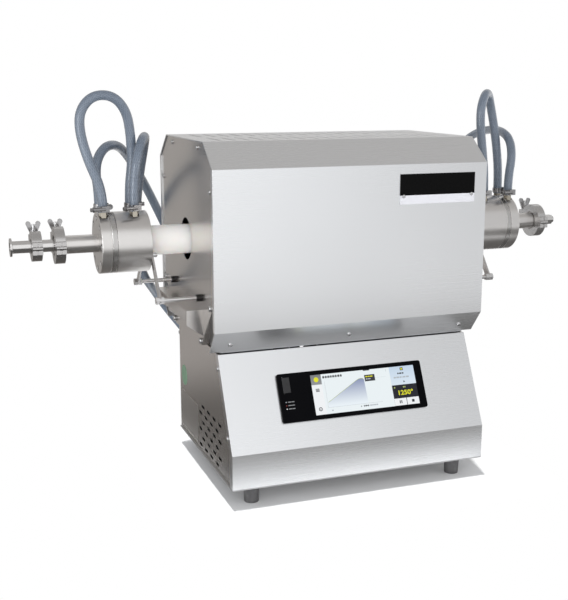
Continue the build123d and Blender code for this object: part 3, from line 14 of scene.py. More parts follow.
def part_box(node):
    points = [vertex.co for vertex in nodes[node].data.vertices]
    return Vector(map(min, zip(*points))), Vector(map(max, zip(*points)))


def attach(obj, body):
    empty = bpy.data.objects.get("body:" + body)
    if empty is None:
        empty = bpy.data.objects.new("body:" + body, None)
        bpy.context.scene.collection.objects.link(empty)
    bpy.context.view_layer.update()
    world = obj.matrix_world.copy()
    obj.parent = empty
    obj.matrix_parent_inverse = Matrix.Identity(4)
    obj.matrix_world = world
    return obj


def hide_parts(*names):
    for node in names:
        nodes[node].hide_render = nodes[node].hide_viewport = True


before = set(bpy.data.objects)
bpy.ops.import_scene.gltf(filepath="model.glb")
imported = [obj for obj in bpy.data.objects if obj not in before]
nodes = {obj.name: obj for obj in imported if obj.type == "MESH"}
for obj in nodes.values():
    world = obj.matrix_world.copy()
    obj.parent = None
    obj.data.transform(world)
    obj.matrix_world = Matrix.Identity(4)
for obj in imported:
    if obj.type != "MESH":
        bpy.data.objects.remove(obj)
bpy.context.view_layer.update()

# ---------------------------------------------------------------- where everything is measured from
# The ceramic tube lies level in the middle of the furnace, so its middle is the point that every
# piece below is placed from.
tube_low, tube_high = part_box("work_tube")
middle_x, middle_y, axis_z = (tube_low + tube_high) / 2


def place(x, y, z):
    """A point given from the tube's middle, at height z over the bench."""
    return Vector((middle_x + x, middle_y + y, z))


# ---------------------------------------------------------------- camera
# A long lens a little above the bench, to the left of the front.
camera_data = bpy.data.cameras.new("camera")
camera_data.sensor_fit = "VERTICAL"
camera_data.sensor_height = 36
camera_data.lens = 60.74
looks_down, looks_right = 12.170, 19.933
camera = bpy.data.objects.new("camera", camera_data)
camera.location = place(-0.66516, -1.66797, 0.67183)
camera.rotation_euler = Euler((radians(90 - looks_down), 0, radians(-looks_right)))
scene = bpy.context.scene
scene.collection.objects.link(camera)
scene.camera = camera

# ---------------------------------------------------------------- studio
# A white table and a white room under soft lamps. Grey cards stand where only polished metal sees
# them, as in a product studio, so that the steel has something darker to mirror.
scene.view_settings.view_transform = "Standard"


def seen_directly(tree):
    """1 where the camera sees a surface, itself or through metal and glass, and 0 for its light."""
    ray = tree.nodes.new("ShaderNodeLightPath")
    seen = ray.outputs["Is Camera Ray"]
    for kind in ("Is Glossy Ray", "Is Transmission Ray"):
        either = tree.nodes.new("ShaderNodeMath")
        either.operation = "MAXIMUM"
        tree.links.new(seen, either.inputs[0])
        tree.links.new(ray.outputs[kind], either.inputs[1])
        seen = either.outputs[0]
    return seen


def mixed(tree, factor, first, second):
    """Two shaders mixed by a factor."""
    mix = tree.nodes.new("ShaderNodeMixShader")
    tree.links.new(factor, mix.inputs[0])
    tree.links.new(first, mix.inputs[1])
    tree.links.new(second, mix.inputs[2])
    return mix.outputs[0]


room_colour, room_strength = (0.95, 0.97, 1.0, 1), 0.72
plain_white = (1, 1, 1)
room = bpy.data.worlds.new("room")
scene.world = room
room.use_nodes = True
room_tree = room.node_tree
room_tree.nodes.clear()
room_light = room_tree.nodes.new("ShaderNodeBackground")
room_light.inputs["Color"].default_value = room_colour
room_light.inputs["Strength"].default_value = room_strength
room_seen = room_tree.nodes.new("ShaderNodeBackground")
room_seen.inputs["Color"].default_value = (*plain_white, 1)
room_out = room_tree.nodes.new("ShaderNodeOutputWorld")
room_mix = mixed(room_tree, seen_directly(room_tree), room_light.outputs[0], room_seen.outputs[0])
room_tree.links.new(room_mix, room_out.inputs["Surface"])
lamps_aim = place(0, 0, 0.3)


def lamp(name, where, size, power, colour=plain_white):
    """A soft square lamp that faces the furnace. Metal doesn't mirror it."""
    data = bpy.data.lights.new(name, "AREA")
    data.size = size
    data.energy = power
    data.color = colour
    soft_box = bpy.data.objects.new(name, data)
    soft_box.location = where
    soft_box.rotation_euler = (lamps_aim - where).to_track_quat("-Z", "Y").to_euler()
    soft_box.visible_glossy = False
    scene.collection.objects.link(soft_box)
    return soft_box


lamp("front_lamp", Vector((-1.0, -2.6, 1.7)), size=1.6, power=22, colour=(0.97, 0.985, 1.0))
lamp("right_lamp", Vector((2.6, -1.4, 1.3)), size=1.4, power=8, colour=(1.0, 0.98, 0.95))
lamp("low_lamp", Vector((-1.5, -1.5, 0.15)), size=0.8, power=11)

# A small lamp high above lights the table alone, and draws the cabinet's shadow close round it.
shadow_casters = bpy.data.collections.new("shadow_casters")
for name in ("cabinet_front_panel", "cabinet_sides", "cabinet_rear_panel", "cabinet_tray", "feet"):
    shadow_casters.objects.link(nodes[name])
top_lamp = lamp("top_lamp", Vector((-0.45, 0.0, 7.0)), size=0.30, power=480)
top_lamp.light_linking.blocker_collection = shadow_casters


def spread(tree, value, start, end):
    """0 before the start and 1 past the end, with a smooth change between."""
    ranged = tree.nodes.new("ShaderNodeMapRange")
    ranged.interpolation_type = "SMOOTHSTEP"
    ranged.inputs["From Min"].default_value = start
    ranged.inputs["From Max"].default_value = end
    tree.links.new(value, ranged.inputs["Value"])
    return ranged.outputs["Result"]


def flat_sheet(name, corners):
    """A four-cornered sheet for the studio, with an empty material."""
    mesh = bpy.data.meshes.new(name)
    mesh.from_pydata(corners, [], [(0, 1, 2, 3)])
    sheet = bpy.data.objects.new(name, mesh)
    scene.collection.objects.link(sheet)
    paint = bpy.data.materials.new(name)
    paint.use_nodes = True
    paint.node_tree.nodes.clear()
    mesh.materials.append(paint)
    return sheet, paint.node_tree


def glow_of(tree, colour, strength=1.0):
    """An even glow."""
    glow = tree.nodes.new("ShaderNodeEmission")
    glow.inputs["Color"].default_value = (*colour, 1)
    glow.inputs["Strength"].default_value = strength
    return glow.outputs[0]


def level(x0, y0, x1, y1, height):
    """The corners of a sheet that lies level."""
    return [(x0, y0, height), (x1, y0, height), (x1, y1, height), (x0, y1, height)]


# The table: matt white, with the furnace's shadow on it near by, and plain white farther out.
table_reach, table_drop = 9, 0.0005
table_grey, table_lift = 0.64, 0.07
shadow_fades_from, shadow_fades_to = 0.045, 0.12
table_corners = level(-table_reach, -table_reach, table_reach, table_reach, -table_drop)
table, table_tree = flat_sheet("table", table_corners)
table_paint = table_tree.nodes.new("ShaderNodeBsdfDiffuse")
table_paint.inputs["Color"].default_value = (table_grey, table_grey, table_grey, 1)
table_near = table_tree.nodes.new("ShaderNodeAddShader")
table_tree.links.new(table_paint.outputs[0], table_near.inputs[0])
table_tree.links.new(glow_of(table_tree, plain_white, table_lift), table_near.inputs[1])

# How far each point of the table lies outside the cabinet.
cabinet_low, cabinet_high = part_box("cabinet_sides")
outside = table_tree.nodes.new("ShaderNodeTexCoord").outputs["Object"]
for operation, amount in (("SUBTRACT", (cabinet_low + cabinet_high) / 2), ("ABSOLUTE", Vector()),
                          ("SUBTRACT", (cabinet_high - cabinet_low) / 2)):
    step = table_tree.nodes.new("ShaderNodeVectorMath")
    step.operation = operation
    step.inputs[1].default_value = amount
    table_tree.links.new(outside, step.inputs[0])
    outside = step.outputs[0]
each_way = table_tree.nodes.new("ShaderNodeSeparateXYZ")
table_tree.links.new(outside, each_way.inputs[0])
farther = table_tree.nodes.new("ShaderNodeMath")
farther.operation = "MAXIMUM"
table_tree.links.new(each_way.outputs["X"], farther.inputs[0])
table_tree.links.new(each_way.outputs["Y"], farther.inputs[1])
table_far = spread(table_tree, farther.outputs[0], shadow_fades_from, shadow_fades_to)
table_seen = mixed(table_tree, table_far, table_near.outputs[0], glow_of(table_tree, plain_white))
table_mix = mixed(table_tree, seen_directly(table_tree), table_paint.outputs[0], table_seen)
table_out = table_tree.nodes.new("ShaderNodeOutputMaterial")
table_tree.links.new(table_mix, table_out.inputs["Surface"])
lit_by_top = bpy.data.collections.new("lit_by_top")
lit_by_top.objects.link(table)
top_lamp.light_linking.receiver_collection = lit_by_top


def grey_card(name, corners, axis, start, end, first, last):
    """A card that only metal and gloss mirror, its grey running from first to last along an axis."""
    card, tree = flat_sheet(name, corners)
    where = tree.nodes.new("ShaderNodeSeparateXYZ")
    tree.links.new(tree.nodes.new("ShaderNodeTexCoord").outputs["Object"], where.inputs[0])
    shade = spread(tree, where.outputs[axis], start, end)
    out = tree.nodes.new("ShaderNodeOutputMaterial")
    tree.links.new(mixed(tree, shade, glow_of(tree, first), glow_of(tree, last)), out.inputs["Surface"])
    card.visible_camera = False
    card.visible_shadow = False
    card.visible_diffuse = False


def upright(x0, y0, x1, y1, low, high):
    """The corners of a standing card."""
    return [(x0, y0, low), (x1, y1, low), (x1, y1, high), (x0, y0, high)]


# Overhead and behind: the roof and the upper bevel of the front cover mirror these.
grey_card("over_card", level(-2.4, -1.35, 2.4, 1.4, 1.9), "Y", -1.3, -0.9,
          first=(0.72, 0.72, 0.72), last=(0.47, 0.46, 0.45))
grey_card("back_card", upright(-0.2, 2.2, 3.0, 2.2, 0, 1.9), "Z", 0.6, 1.5,
          first=(0.63, 0.62, 0.61), last=(0.52, 0.51, 0.50))

# To the left and on the table: for the end panel, the cabinet's side and the flanges.
edge_left, edge_front, on_table = -0.228, -0.27, 0.0006
grey_card("left_back_card", upright(-0.28, 1.2, -2.6, 1.2, 0, 1.9), "Z", 0.05, 0.5,
          first=(0.36, 0.345, 0.33), last=(0.40, 0.385, 0.37))
grey_card("left_floor_card", level(-1.2, 0.0, edge_left, 1.2, on_table), "Y", 0.28, 0.75,
          first=(0.13, 0.122, 0.115), last=(0.38, 0.36, 0.345))
grey_card("left_front_floor_card", level(-1.4, -1.3, edge_left, 0.0, on_table), "Y", -1.3, -0.8,
          first=(0.6, 0.6, 0.6), last=(0.11, 0.108, 0.105))

# On the table in front: for the lower bevel of the front cover and the cabinet's apron.
grey_card("front_floor_card", level(edge_left, -1.3, 0.7, -0.5, on_table), "Y", -1.3, -0.75,
          first=(0.7, 0.7, 0.7), last=(0.20, 0.195, 0.19))
grey_card("apron_floor_card", level(edge_left, -0.5, 0.7, edge_front, on_table), "Y", -0.42, edge_front,
          first=(0.20, 0.195, 0.19), last=(0.96, 0.97, 0.98))

# On the table to the right: for what stands out at the right end.
grey_card("right_floor_card", level(0.7, -1.3, 1.6, 0.6, on_table), "Y", -1.3, -0.8,
          first=(0.6, 0.6, 0.6), last=(0.16, 0.157, 0.154))
grey_card("under_right_card", level(0.27, -0.26, 0.7, 0.6, on_table), "Y", -0.26, -0.1,
          first=(0.5, 0.5, 0.5), last=(0.12, 0.117, 0.114))

# A bright strip for highlights on the turned steel, and a pale wall before the front cover.
grey_card("strip_light", upright(-2.05, -1.05, -1.65, -1.45, 0.05, 1.5), "Z", 0.1, 0.3,
          first=(2.5, 2.55, 2.6), last=(5.5, 5.6, 5.7))
grey_card("front_card", upright(0.15, -1.9, 3.2, -1.9, 0, 2.6), "X", 0.2, 1.5,
          first=(0.98, 0.99, 1.0), last=(0.61, 0.612, 0.615))

# ---------------------------------------------------------------- feet
# Four moulded rubber feet, each held by a screw from below. Every finish starts, as here, from a few
# patterns in the piece's own place, in metres.


class Finish:
    """A material under construction, with short calls for the few nodes that the finishes share."""

    def __init__(self, name, metal=0.0, rough=0.5):
        self.material = bpy.data.materials.new(name)
        self.material.use_nodes = True
        self.tree = self.material.node_tree
        self.shader = self.tree.nodes["Principled BSDF"]
        self.shader.inputs["Metallic"].default_value = metal
        self.shader.inputs["Roughness"].default_value = rough
        self.place = self.tree.nodes.new("ShaderNodeTexCoord").outputs["Object"]

    def join(self, source, target):
        """Wire an output to an input."""
        self.tree.links.new(source, target)

    def stretched(self, scales):
        """The piece's coordinates, scaled along each axis."""
        mapping = self.tree.nodes.new("ShaderNodeMapping")
        mapping.inputs["Scale"].default_value = scales
        self.join(self.place, mapping.inputs["Vector"])
        return mapping.outputs[0]

    def parted(self, vector):
        """A vector taken apart, into X, Y and Z."""
        parts = self.tree.nodes.new("ShaderNodeSeparateXYZ")
        self.join(vector, parts.inputs[0])
        return parts.outputs

    def noise(self, vector, scale=1.0, detail=2.0):
        """Cloudy noise from 0 to 1."""
        noise = self.tree.nodes.new("ShaderNodeTexNoise")
        noise.inputs["Scale"].default_value = scale
        noise.inputs["Detail"].default_value = detail
        self.join(vector, noise.inputs["Vector"])
        return noise.outputs["Fac"]

    def between(self, value, low, high, from_low=0.3, from_high=0.7):
        """A value brought into a new range."""
        ranged = self.tree.nodes.new("ShaderNodeMapRange")
        ranged.inputs["From Min"].default_value = from_low
        ranged.inputs["From Max"].default_value = from_high
        ranged.inputs["To Min"].default_value = low
        ranged.inputs["To Max"].default_value = high
        self.join(value, ranged.inputs["Value"])
        return ranged.outputs["Result"]

    def blend(self, factor, first, second):
        """Two colours mixed by a factor."""
        mix = self.tree.nodes.new("ShaderNodeMix")
        mix.data_type = "RGBA"
        for colour, socket in ((first, mix.inputs["A"]), (second, mix.inputs["B"])):
            if isinstance(colour, tuple):
                socket.default_value = (*colour, 1)
            else:
                self.join(colour, socket)
        self.join(factor, mix.inputs["Factor"])
        return mix.outputs["Result"]

    def sums(self, operation, first, second=None):
        """Arithmetic on one or two values."""
        step = self.tree.nodes.new("ShaderNodeMath")
        step.operation = operation
        for value, socket in ((first, step.inputs[0]), (second, step.inputs[1])):
            if isinstance(value, (int, float)):
                socket.default_value = value
            elif value is not None:
                self.join(value, socket)
        return step.outputs[0]

    def coloured(self, colour):
        """Set the base colour."""
        self.join(colour, self.shader.inputs["Base Color"])

    def roughened(self, value):
        """Set the roughness."""
        self.join(value, self.shader.inputs["Roughness"])

    def relief(self, height, depth, edge=0.0):
        """Raise the surface by a pattern, and soften the piece's edges by a small radius."""
        bump = self.tree.nodes.new("ShaderNodeBump")
        bump.inputs["Distance"].default_value = depth
        self.join(height, bump.inputs["Height"])
        if edge:
            rounding = self.tree.nodes.new("ShaderNodeBevel")
            rounding.inputs["Radius"].default_value = edge
            self.join(rounding.outputs[0], bump.inputs["Normal"])
        self.join(bump.outputs[0], self.shader.inputs["Normal"])


def moulded(name, dark, pale, rough=0.62):
    """Moulded rubber or plastic: a fine grain and a little dust."""
    rubber = Finish(name, rough=rough)
    dust = rubber.noise(rubber.place, scale=90, detail=4)
    rubber.coloured(rubber.blend(rubber.between(dust, 0, 1), dark, pale))
    rubber.relief(rubber.noise(rubber.place, scale=1800), depth=0.00008, edge=0.0006)
    return rubber


def wear(finish, *pieces):
    """Put one finish on whole pieces, given as objects or by the names that the frame has for them."""
    for piece in pieces:
        if isinstance(piece, str):
            piece = nodes[piece]
        piece.data.materials.clear()
        piece.data.materials.append(finish.material)


wear(moulded("foot_rubber", (0.070, 0.068, 0.070), (0.115, 0.113, 0.115)), "feet")

# ---------------------------------------------------------------- sheet metal
# The folded panels are stainless steel, brushed along each panel and held by small screws. Slow
# changes in the brushing make wide pale and grey areas.


def brushed_steel(name, along, tint, rough=0.28):
    """Brushed sheet whose strokes run along the axis given."""
    fine, long = 2600, 6
    stroke_depth = 0.0000004
    stroke_share, cloud_share = 0.4, 0.6
    uneven = 0.03
    duller = tuple(part * 0.98 for part in tint)
    steel = Finish(name, metal=1.0, rough=rough)
    strokes = steel.noise(steel.stretched(tuple(long if axis == along else fine for axis in "xyz")), detail=3)
    clouds = steel.noise(steel.place, scale=3.2)
    worn = steel.sums("ADD", steel.sums("MULTIPLY", strokes, stroke_share),
                      steel.sums("MULTIPLY", clouds, cloud_share))
    steel.coloured(steel.blend(steel.between(worn, 0, 1), duller, tint))
    steel.roughened(steel.between(worn, rough + uneven, rough - uneven))
    steel.relief(strokes, stroke_depth, edge=0.0006)
    return steel


wear(brushed_steel("front_sheet", "x", (0.885, 0.895, 0.91)), "front_cover", "rear_cover", "roof_cover",
     "cabinet_front_panel", "cabinet_rear_panel")
# The end panels, cabinet sides and brackets are the same steel in a darker, warmer tint: painted shade for
# the faces turned away from the light, against the lit, bluish-white copy above.
wear(brushed_steel("side_sheet", "y", (0.73, 0.705, 0.685), rough=0.24), "end_panels", "cabinet_sides",
     "support_brackets")
wear(brushed_steel("inner_sheet", "x", (0.50, 0.50, 0.51), rough=0.42), "body_floor", "inner_end_walls",
     "cabinet_tray")

# ---------------------------------------------------------------- behind the vents
# A near-black sheet stands behind the vent slots of each cabinet side. It is painted shade for the dark
# inside of the cabinet, where the white room would otherwise show through both sides' vents.


def slab(name, low, high, edge):
    """A thin block between two corners, with softened edges, fixed to the furnace."""
    shape = bmesh.new()
    bmesh.ops.create_cube(shape, size=1)
    middle, size = (low + high) / 2, high - low
    for point in shape.verts:
        point.co = middle + Vector(point.co[i] * size[i] for i in range(3))
    bmesh.ops.bevel(shape, geom=shape.edges[:], offset=edge, segments=2, affect="EDGES")
    mesh = bpy.data.meshes.new(name)
    shape.to_mesh(mesh)
    shape.free()
    piece = bpy.data.objects.new(name, mesh)
    scene.collection.objects.link(piece)
    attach(piece, "furnace")
    return piece


# Painted shade: a near-black, nearly matt sheet with a faint grain.
painted_shade_sheet = Finish("painted_shade_sheet", rough=0.95)
shade_sheet_grain = painted_shade_sheet.noise(painted_shade_sheet.place, scale=1500)
painted_shade_sheet.coloured(painted_shade_sheet.blend(shade_sheet_grain, (0.0015, 0.0015, 0.0015), (0.005, 0.005, 0.005)))
painted_shade_sheet.relief(shade_sheet_grain, depth=0.0008)
painted_shade_sheet.shader.inputs["Specular IOR Level"].default_value = 0.02
side_sheet, mat_thickness = 0.0016, 0.0012
mat_front, mat_back = place(0, -0.155, 0).y, place(0, -0.008, 0).y
mat_foot, mat_head = 0.036, 0.130
for side, mat_left in (("left", cabinet_low.x + side_sheet),
                       ("right", cabinet_high.x - side_sheet - mat_thickness)):
    mat = slab(f"vent_shade_sheet_{side}", Vector((mat_left, mat_front, mat_foot)),
               Vector((mat_left + mat_thickness, mat_back, mat_head)), edge=0.0003)
    wear(painted_shade_sheet, mat)

# ---------------------------------------------------------------- inside the body
# Two blocks of ceramic fibre close round the chamber, and plugs of the same fibre stand in the tube.
# Six silicon-carbide heating rods lie round the tube and stand out at both ends of the blocks.
fibre = Finish("fibre_board", rough=0.95)
fibre_felt = fibre.noise(fibre.place, scale=420, detail=5)
fibre.coloured(fibre.blend(fibre_felt, (0.80, 0.77, 0.70), (0.93, 0.91, 0.87)))
fibre.relief(fibre_felt, depth=0.0006)
wear(fibre, "insulation_lower", "insulation_upper", "tube_plugs")

carbide = Finish("silicon_carbide", rough=0.7)
carbide_grain = carbide.noise(carbide.place, scale=2600, detail=4)
carbide.coloured(carbide.blend(carbide_grain, (0.05, 0.05, 0.055), (0.14, 0.14, 0.15)))
carbide.relief(carbide_grain, depth=0.0002)
wear(carbide, "heating_rods")

# ---------------------------------------------------------------- ceramic tube
# The work tube is fired alumina, warm white and unglazed, with faint specks and a slight bloom at its
# surface. It passes freely through both end panels, and the flanges close on its ends.
alumina = Finish("alumina", rough=0.48)
alumina_cloud = alumina.noise(alumina.place, scale=22, detail=3)
alumina_grit = alumina.noise(alumina.place, scale=900)
alumina_speck = alumina.between(alumina_grit, 0, 1, from_low=0.66, from_high=0.74)
alumina_body = alumina.blend(alumina_cloud, (0.86, 0.83, 0.79), (0.93, 0.905, 0.875))
alumina.coloured(alumina.blend(alumina_speck, alumina_body, (0.78, 0.73, 0.66)))
alumina.relief(alumina.noise(alumina.place, scale=1500, detail=3), depth=0.00006, edge=0.0005)
alumina.shader.inputs["Subsurface Weight"].default_value = 0.15
alumina.shader.inputs["Subsurface Scale"].default_value = 0.003
wear(alumina, "work_tube", "thermocouple")

# ---------------------------------------------------------------- flanges and gas line
# Each flange is a turned steel body, a gland ring and a bolted cap, with rubber rings that seal on the
# tube. The tool leaves fine rings round the tube's axis on every face.


def turned_steel(name, tint, rough=0.26):
    """Steel turned round the tube's axis."""
    ring_depth = 0.0000003
    duller = tuple(part * 0.985 for part in tint)
    steel = Finish(name, metal=1.0, rough=rough)
    parts = steel.parted(steel.place)
    off_y = steel.sums("SUBTRACT", parts["Y"], middle_y)
    off_z = steel.sums("SUBTRACT", parts["Z"], axis_z)
    squares = steel.sums("ADD", steel.sums("MULTIPLY", off_y, off_y), steel.sums("MULTIPLY", off_z, off_z))
    lathe = steel.tree.nodes.new("ShaderNodeCombineXYZ")
    steel.join(parts["X"], lathe.inputs["X"])
    steel.join(steel.sums("SQRT", squares), lathe.inputs["Y"])
    rings = steel.noise(lathe.outputs[0], scale=900)
    smears = steel.noise(steel.place, scale=30)
    worn = steel.sums("MULTIPLY", steel.sums("ADD", rings, smears), 0.5)
    steel.coloured(steel.blend(steel.between(worn, 0, 1), duller, tint))
    steel.roughened(steel.between(smears, rough + 0.03, rough - 0.02))
    steel.relief(rings, ring_depth, edge=0.0005)
    return steel


wear(turned_steel("flange_steel", (0.78, 0.76, 0.745), rough=0.30), "flange_body_left",
     "flange_body_right", "flange_cap_left", "flange_cap_right")
wear(turned_steel("ring_steel", (0.60, 0.59, 0.58)), "gland_rings")
wear(turned_steel("pipe_steel", (0.78, 0.77, 0.765), rough=0.15), "reducer_spool", "gas_port_spool",
     "gas_fitting")
wear(moulded("seal_rubber", (0.02, 0.02, 0.02), (0.05, 0.05, 0.05)), "seal_rings")

# ---------------------------------------------------------------- clamps, bolts and supports
# The clamp halves are cast alloy, matt from the mould. Their wing nuts are chromed, and the bolts,
# rods and arms are bright steel. The rods leave the end panels through dark bushes.


def small_metal(name, tint, rough, grain=700):
    """Metal of small hardware, a little uneven."""
    duller = tuple(part * 0.88 for part in tint)
    steel = Finish(name, metal=1.0, rough=rough)
    spots = steel.noise(steel.place, scale=grain, detail=3)
    steel.coloured(steel.blend(spots, duller, tint))
    steel.roughened(steel.between(spots, rough + 0.06, rough - 0.04))
    steel.relief(spots, depth=0.00001, edge=0.0004)
    return steel


clamp_words = ("port_clamp", "nozzle_clamp_left", "nozzle_clamp_right")
wear(small_metal("cast_alloy", (0.64, 0.63, 0.625), rough=0.27, grain=1200), "clamp_lower_halves",
     *(f"{word}_upper" for word in clamp_words))
wear(small_metal("chrome", (0.46, 0.455, 0.46), rough=0.09), *(f"{word}_wing_nut" for word in clamp_words))
wear(small_metal("bright_steel", (0.72, 0.72, 0.725), rough=0.18), "bolts", "screws",
     "swing_bolts_and_hinge_pins", *(f"{word}_washer" for word in clamp_words))

bush_black, rod_grey = (0.045, 0.044, 0.044), (0.70, 0.69, 0.69)
bush_past_panel = 0.0072
rod_steel = small_metal("rod_steel", rod_grey, rough=0.2)
panel_low, panel_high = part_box("end_panels")
bush_end = (panel_high.x - panel_low.x) / 2 + bush_past_panel
across = rod_steel.parted(rod_steel.place)["X"]
from_middle = rod_steel.sums("ABSOLUTE", rod_steel.sums("SUBTRACT", across, middle_x))
past_bush = rod_steel.sums("GREATER_THAN", from_middle, bush_end)
rod_steel.coloured(rod_steel.blend(past_bush, bush_black, rod_grey))
wear(rod_steel, "tube_supports")

# ---------------------------------------------------------------- hose ends
# Nickel-plated brass barbs are screwed into the flanges. Worm-drive clamps of dark spring steel hold
# the hoses on them.
wear(small_metal("plated_brass", (0.52, 0.48, 0.41), rough=0.2), "hose_barbs")
wear(small_metal("clamp_steel", (0.36, 0.355, 0.36), rough=0.22), "hose_clamps")

# ---------------------------------------------------------------- inside the cabinet
# Black moulded cases and fan, a varnished transformer, an anodised power controller and pale
# switchgear, all screwed to the tray and the panels.
wear(moulded("black_plastic", (0.02, 0.02, 0.022), (0.04, 0.04, 0.042), rough=0.5), "controller_housing",
     "fan_frame_and_guard", "fan_rotor", "mains_gland")
wear(small_metal("anodised_module", (0.30, 0.31, 0.33), rough=0.4), "power_controller")
wear(moulded("winding_varnish", (0.10, 0.07, 0.05), (0.16, 0.12, 0.08), rough=0.45), "transformer")
wear(moulded("pale_plastic", (0.60, 0.60, 0.57), (0.70, 0.70, 0.67), rough=0.45), "contactor_and_terminals")

# ---------------------------------------------------------------- controller
# A glossy black bezel on the slope with a touch screen let into it, flush, and a soft flap over a
# socket at its left end.
gloss = Finish("black_gloss")
gloss_smear = gloss.noise(gloss.place, scale=14, detail=3)
gloss.coloured(gloss.blend(gloss_smear, (0.0015, 0.0015, 0.002), (0.004, 0.004, 0.005)))
gloss.roughened(gloss.between(gloss_smear, 0.07, 0.15))
gloss.shader.inputs["Specular IOR Level"].default_value = 0.025
wear(gloss, "controller_bezel", "touch_screen")
wear(moulded("flap_rubber", (0.010, 0.010, 0.011), (0.018, 0.018, 0.020), rough=0.45), "usb_flap")

# ---------------------------------------------------------------- the picture on the screen
# A lit display under the glass: a column of keys, a heating curve, a state tile, a temperature and
# two buttons. It is drawn in thin flat inks, each a hair above the last.
lean = radians(26.87)
screen_length = 0.0675
right = Vector((1, 0, 0))
up_slope = Vector((0, sin(lean), cos(lean)))
out_of_slope = Vector((0, -cos(lean), sin(lean)))
screen_low, screen_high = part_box("touch_screen")
screen_corner = Vector((screen_low.x, screen_low.y + screen_length * up_slope.y, screen_high.z))
ink_layer = 0.00006
screen_glow = 0.94


def display_ink(name, colour, end=None, from_down=0.0, to_down=0.0):
    """Lit ink with a faint grain of picture cells. With an end colour, it changes down the screen."""
    ink = Finish(name, rough=0.2)
    dimmer = tuple(part * 0.94 for part in colour)
    cells = ink.between(ink.noise(ink.place, scale=4200, detail=1), 0, 1)
    shade = ink.blend(cells, dimmer, colour)
    if end:
        top = screen_corner.z - from_down * up_slope.z
        bottom = screen_corner.z - to_down * up_slope.z
        shade = ink.blend(ink.between(ink.parted(ink.place)["Z"], 0, 1, top, bottom), shade, end)
    ink.join(shade, ink.shader.inputs["Emission Color"])
    ink.coloured(ink.blend(cells, (0.01, 0.01, 0.01), (0.012, 0.012, 0.012)))
    ink.shader.inputs["Emission Strength"].default_value = screen_glow
    ink.shader.inputs["Specular IOR Level"].default_value = 0.16
    return ink.material


inks = {
    "white": display_ink("ink_white", (0.93, 0.95, 0.97)),
    "ice": display_ink("ink_ice", (0.88, 0.945, 0.97)),
    "blue": display_ink("ink_blue", (0.60, 0.72, 0.86), (0.72, 0.82, 0.92), from_down=0.002, to_down=0.03),
    "fill": display_ink("ink_fill", (0.27, 0.32, 0.50), (0.84, 0.91, 0.96), from_down=0.015, to_down=0.054),
    "grey": display_ink("ink_grey", (0.20, 0.21, 0.22), (0.30, 0.31, 0.32), from_down=0.0, to_down=0.017),
    "faint": display_ink("ink_faint", (0.48, 0.52, 0.56)),
    "dark": display_ink("ink_dark", (0.035, 0.038, 0.045)),
    "black": display_ink("ink_black", (0.008, 0.009, 0.016)),
    "yellow": display_ink("ink_yellow", (0.80, 0.78, 0.02)),
    "green": display_ink("ink_green", (0.42, 0.50, 0.16)),
    "red": display_ink("ink_red", (0.30, 0.05, 0.04)),
}
picture = bmesh.new()


def on_screen(across, down, layer):
    """A point on the screen, from its upper left corner."""
    return screen_corner + across * right - down * up_slope + layer * ink_layer * out_of_slope


def drawn(ink, points, layer=1):
    """A closed patch of one ink, one layer thick."""
    foot = [picture.verts.new(on_screen(*point, layer)) for point in points]
    head = [picture.verts.new(on_screen(*point, layer + 1)) for point in points]
    walls = [(foot[i - 1], foot[i], head[i], head[i - 1]) for i in range(len(points))]
    for corners in (foot, head, *walls):
        picture.faces.new(corners).material_index = list(inks).index(ink)


def bar(ink, left, top, width, height, layer=1):
    """An upright oblong of ink."""
    foot = top + height
    drawn(ink, [(left, top), (left + width, top), (left + width, foot), (left, foot)], layer)


def dot(ink, across, down, radius, layer=2):
    """A round spot of ink."""
    corners = 20
    turns = [2 * pi * i / corners for i in range(corners)]
    drawn(ink, [(across + radius * cos(turn), down + radius * sin(turn)) for turn in turns], layer)


def marks(ink, left, down, widths, height=0.0028, gap=0.0011, layer=2):
    """A row of short bars that stands for a line of small print."""
    for width in widths:
        bar(ink, left, down, width, height, layer)
        left += width + gap


# The column of keys.
rim = 0.0003
keys_left, keys_middle, keys_width = 0.0004, 0.0098, 0.0186
bar("grey", keys_left, rim, keys_width, 0.0167)
dot("yellow", keys_middle, 0.0085, 0.0042)
bar("white", keys_left, 0.0170, keys_width, 0.0502)
for row in range(3):
    bar("dark", 0.0065, 0.0238 + row * 0.0019, 0.0066, 0.0012, layer=2)
for ink, radius, layer in (("dark", 0.0033, 2), ("white", 0.0021, 3), ("dark", 0.0009, 4)):
    dot(ink, keys_middle, 0.0580, radius, layer)

# The heating curve over its two axes, with a title, a caption at its peak and a line of small print.
axis_left, axis_down, hairline = 0.0236, 0.0567, 0.0003
curve_left, curve_width = 0.0250, 0.0007
bar("ice", 0.0190, rim, 0.1248, 0.0669)
marks("dark", 0.0216, 0.0038, (0.0032, 0.0030, 0.0033, 0.0028, 0.0032, 0.0031, 0.0034, 0.0029),
      height=0.0036, gap=0.0014)
bar("faint", axis_left, 0.0130, hairline, 0.0440, layer=2)
bar("faint", axis_left, axis_down, 0.0990, hairline, layer=2)
for step in range(1, 4):
    bar("faint", 0.0225, axis_down - step * 0.0115, 0.0011, hairline, layer=2)
curve = [(curve_left, 0.0485), (0.0800, 0.0175), (0.0845, 0.0152), (0.0885, 0.0142), (0.0925, 0.0145),
         (0.0950, 0.0163)]
drawn("fill", [*curve, (0.0962, axis_down), (curve_left, axis_down)], layer=2)
drawn("green", [*curve, *((x, y - curve_width) for x, y in reversed(curve))], layer=3)
bar("faint", 0.1060, 0.0150, 0.0300, 0.0002, layer=2)
bar("faint", 0.1370, 0.0030, 0.0006, 0.0036, layer=2)
bar("dark", 0.0965, 0.0090, 0.0190, 0.0110, layer=3)
marks("yellow", 0.0985, 0.0112, (0.0040, 0.0030, 0.0045), height=0.0018, gap=0.0008, layer=4)
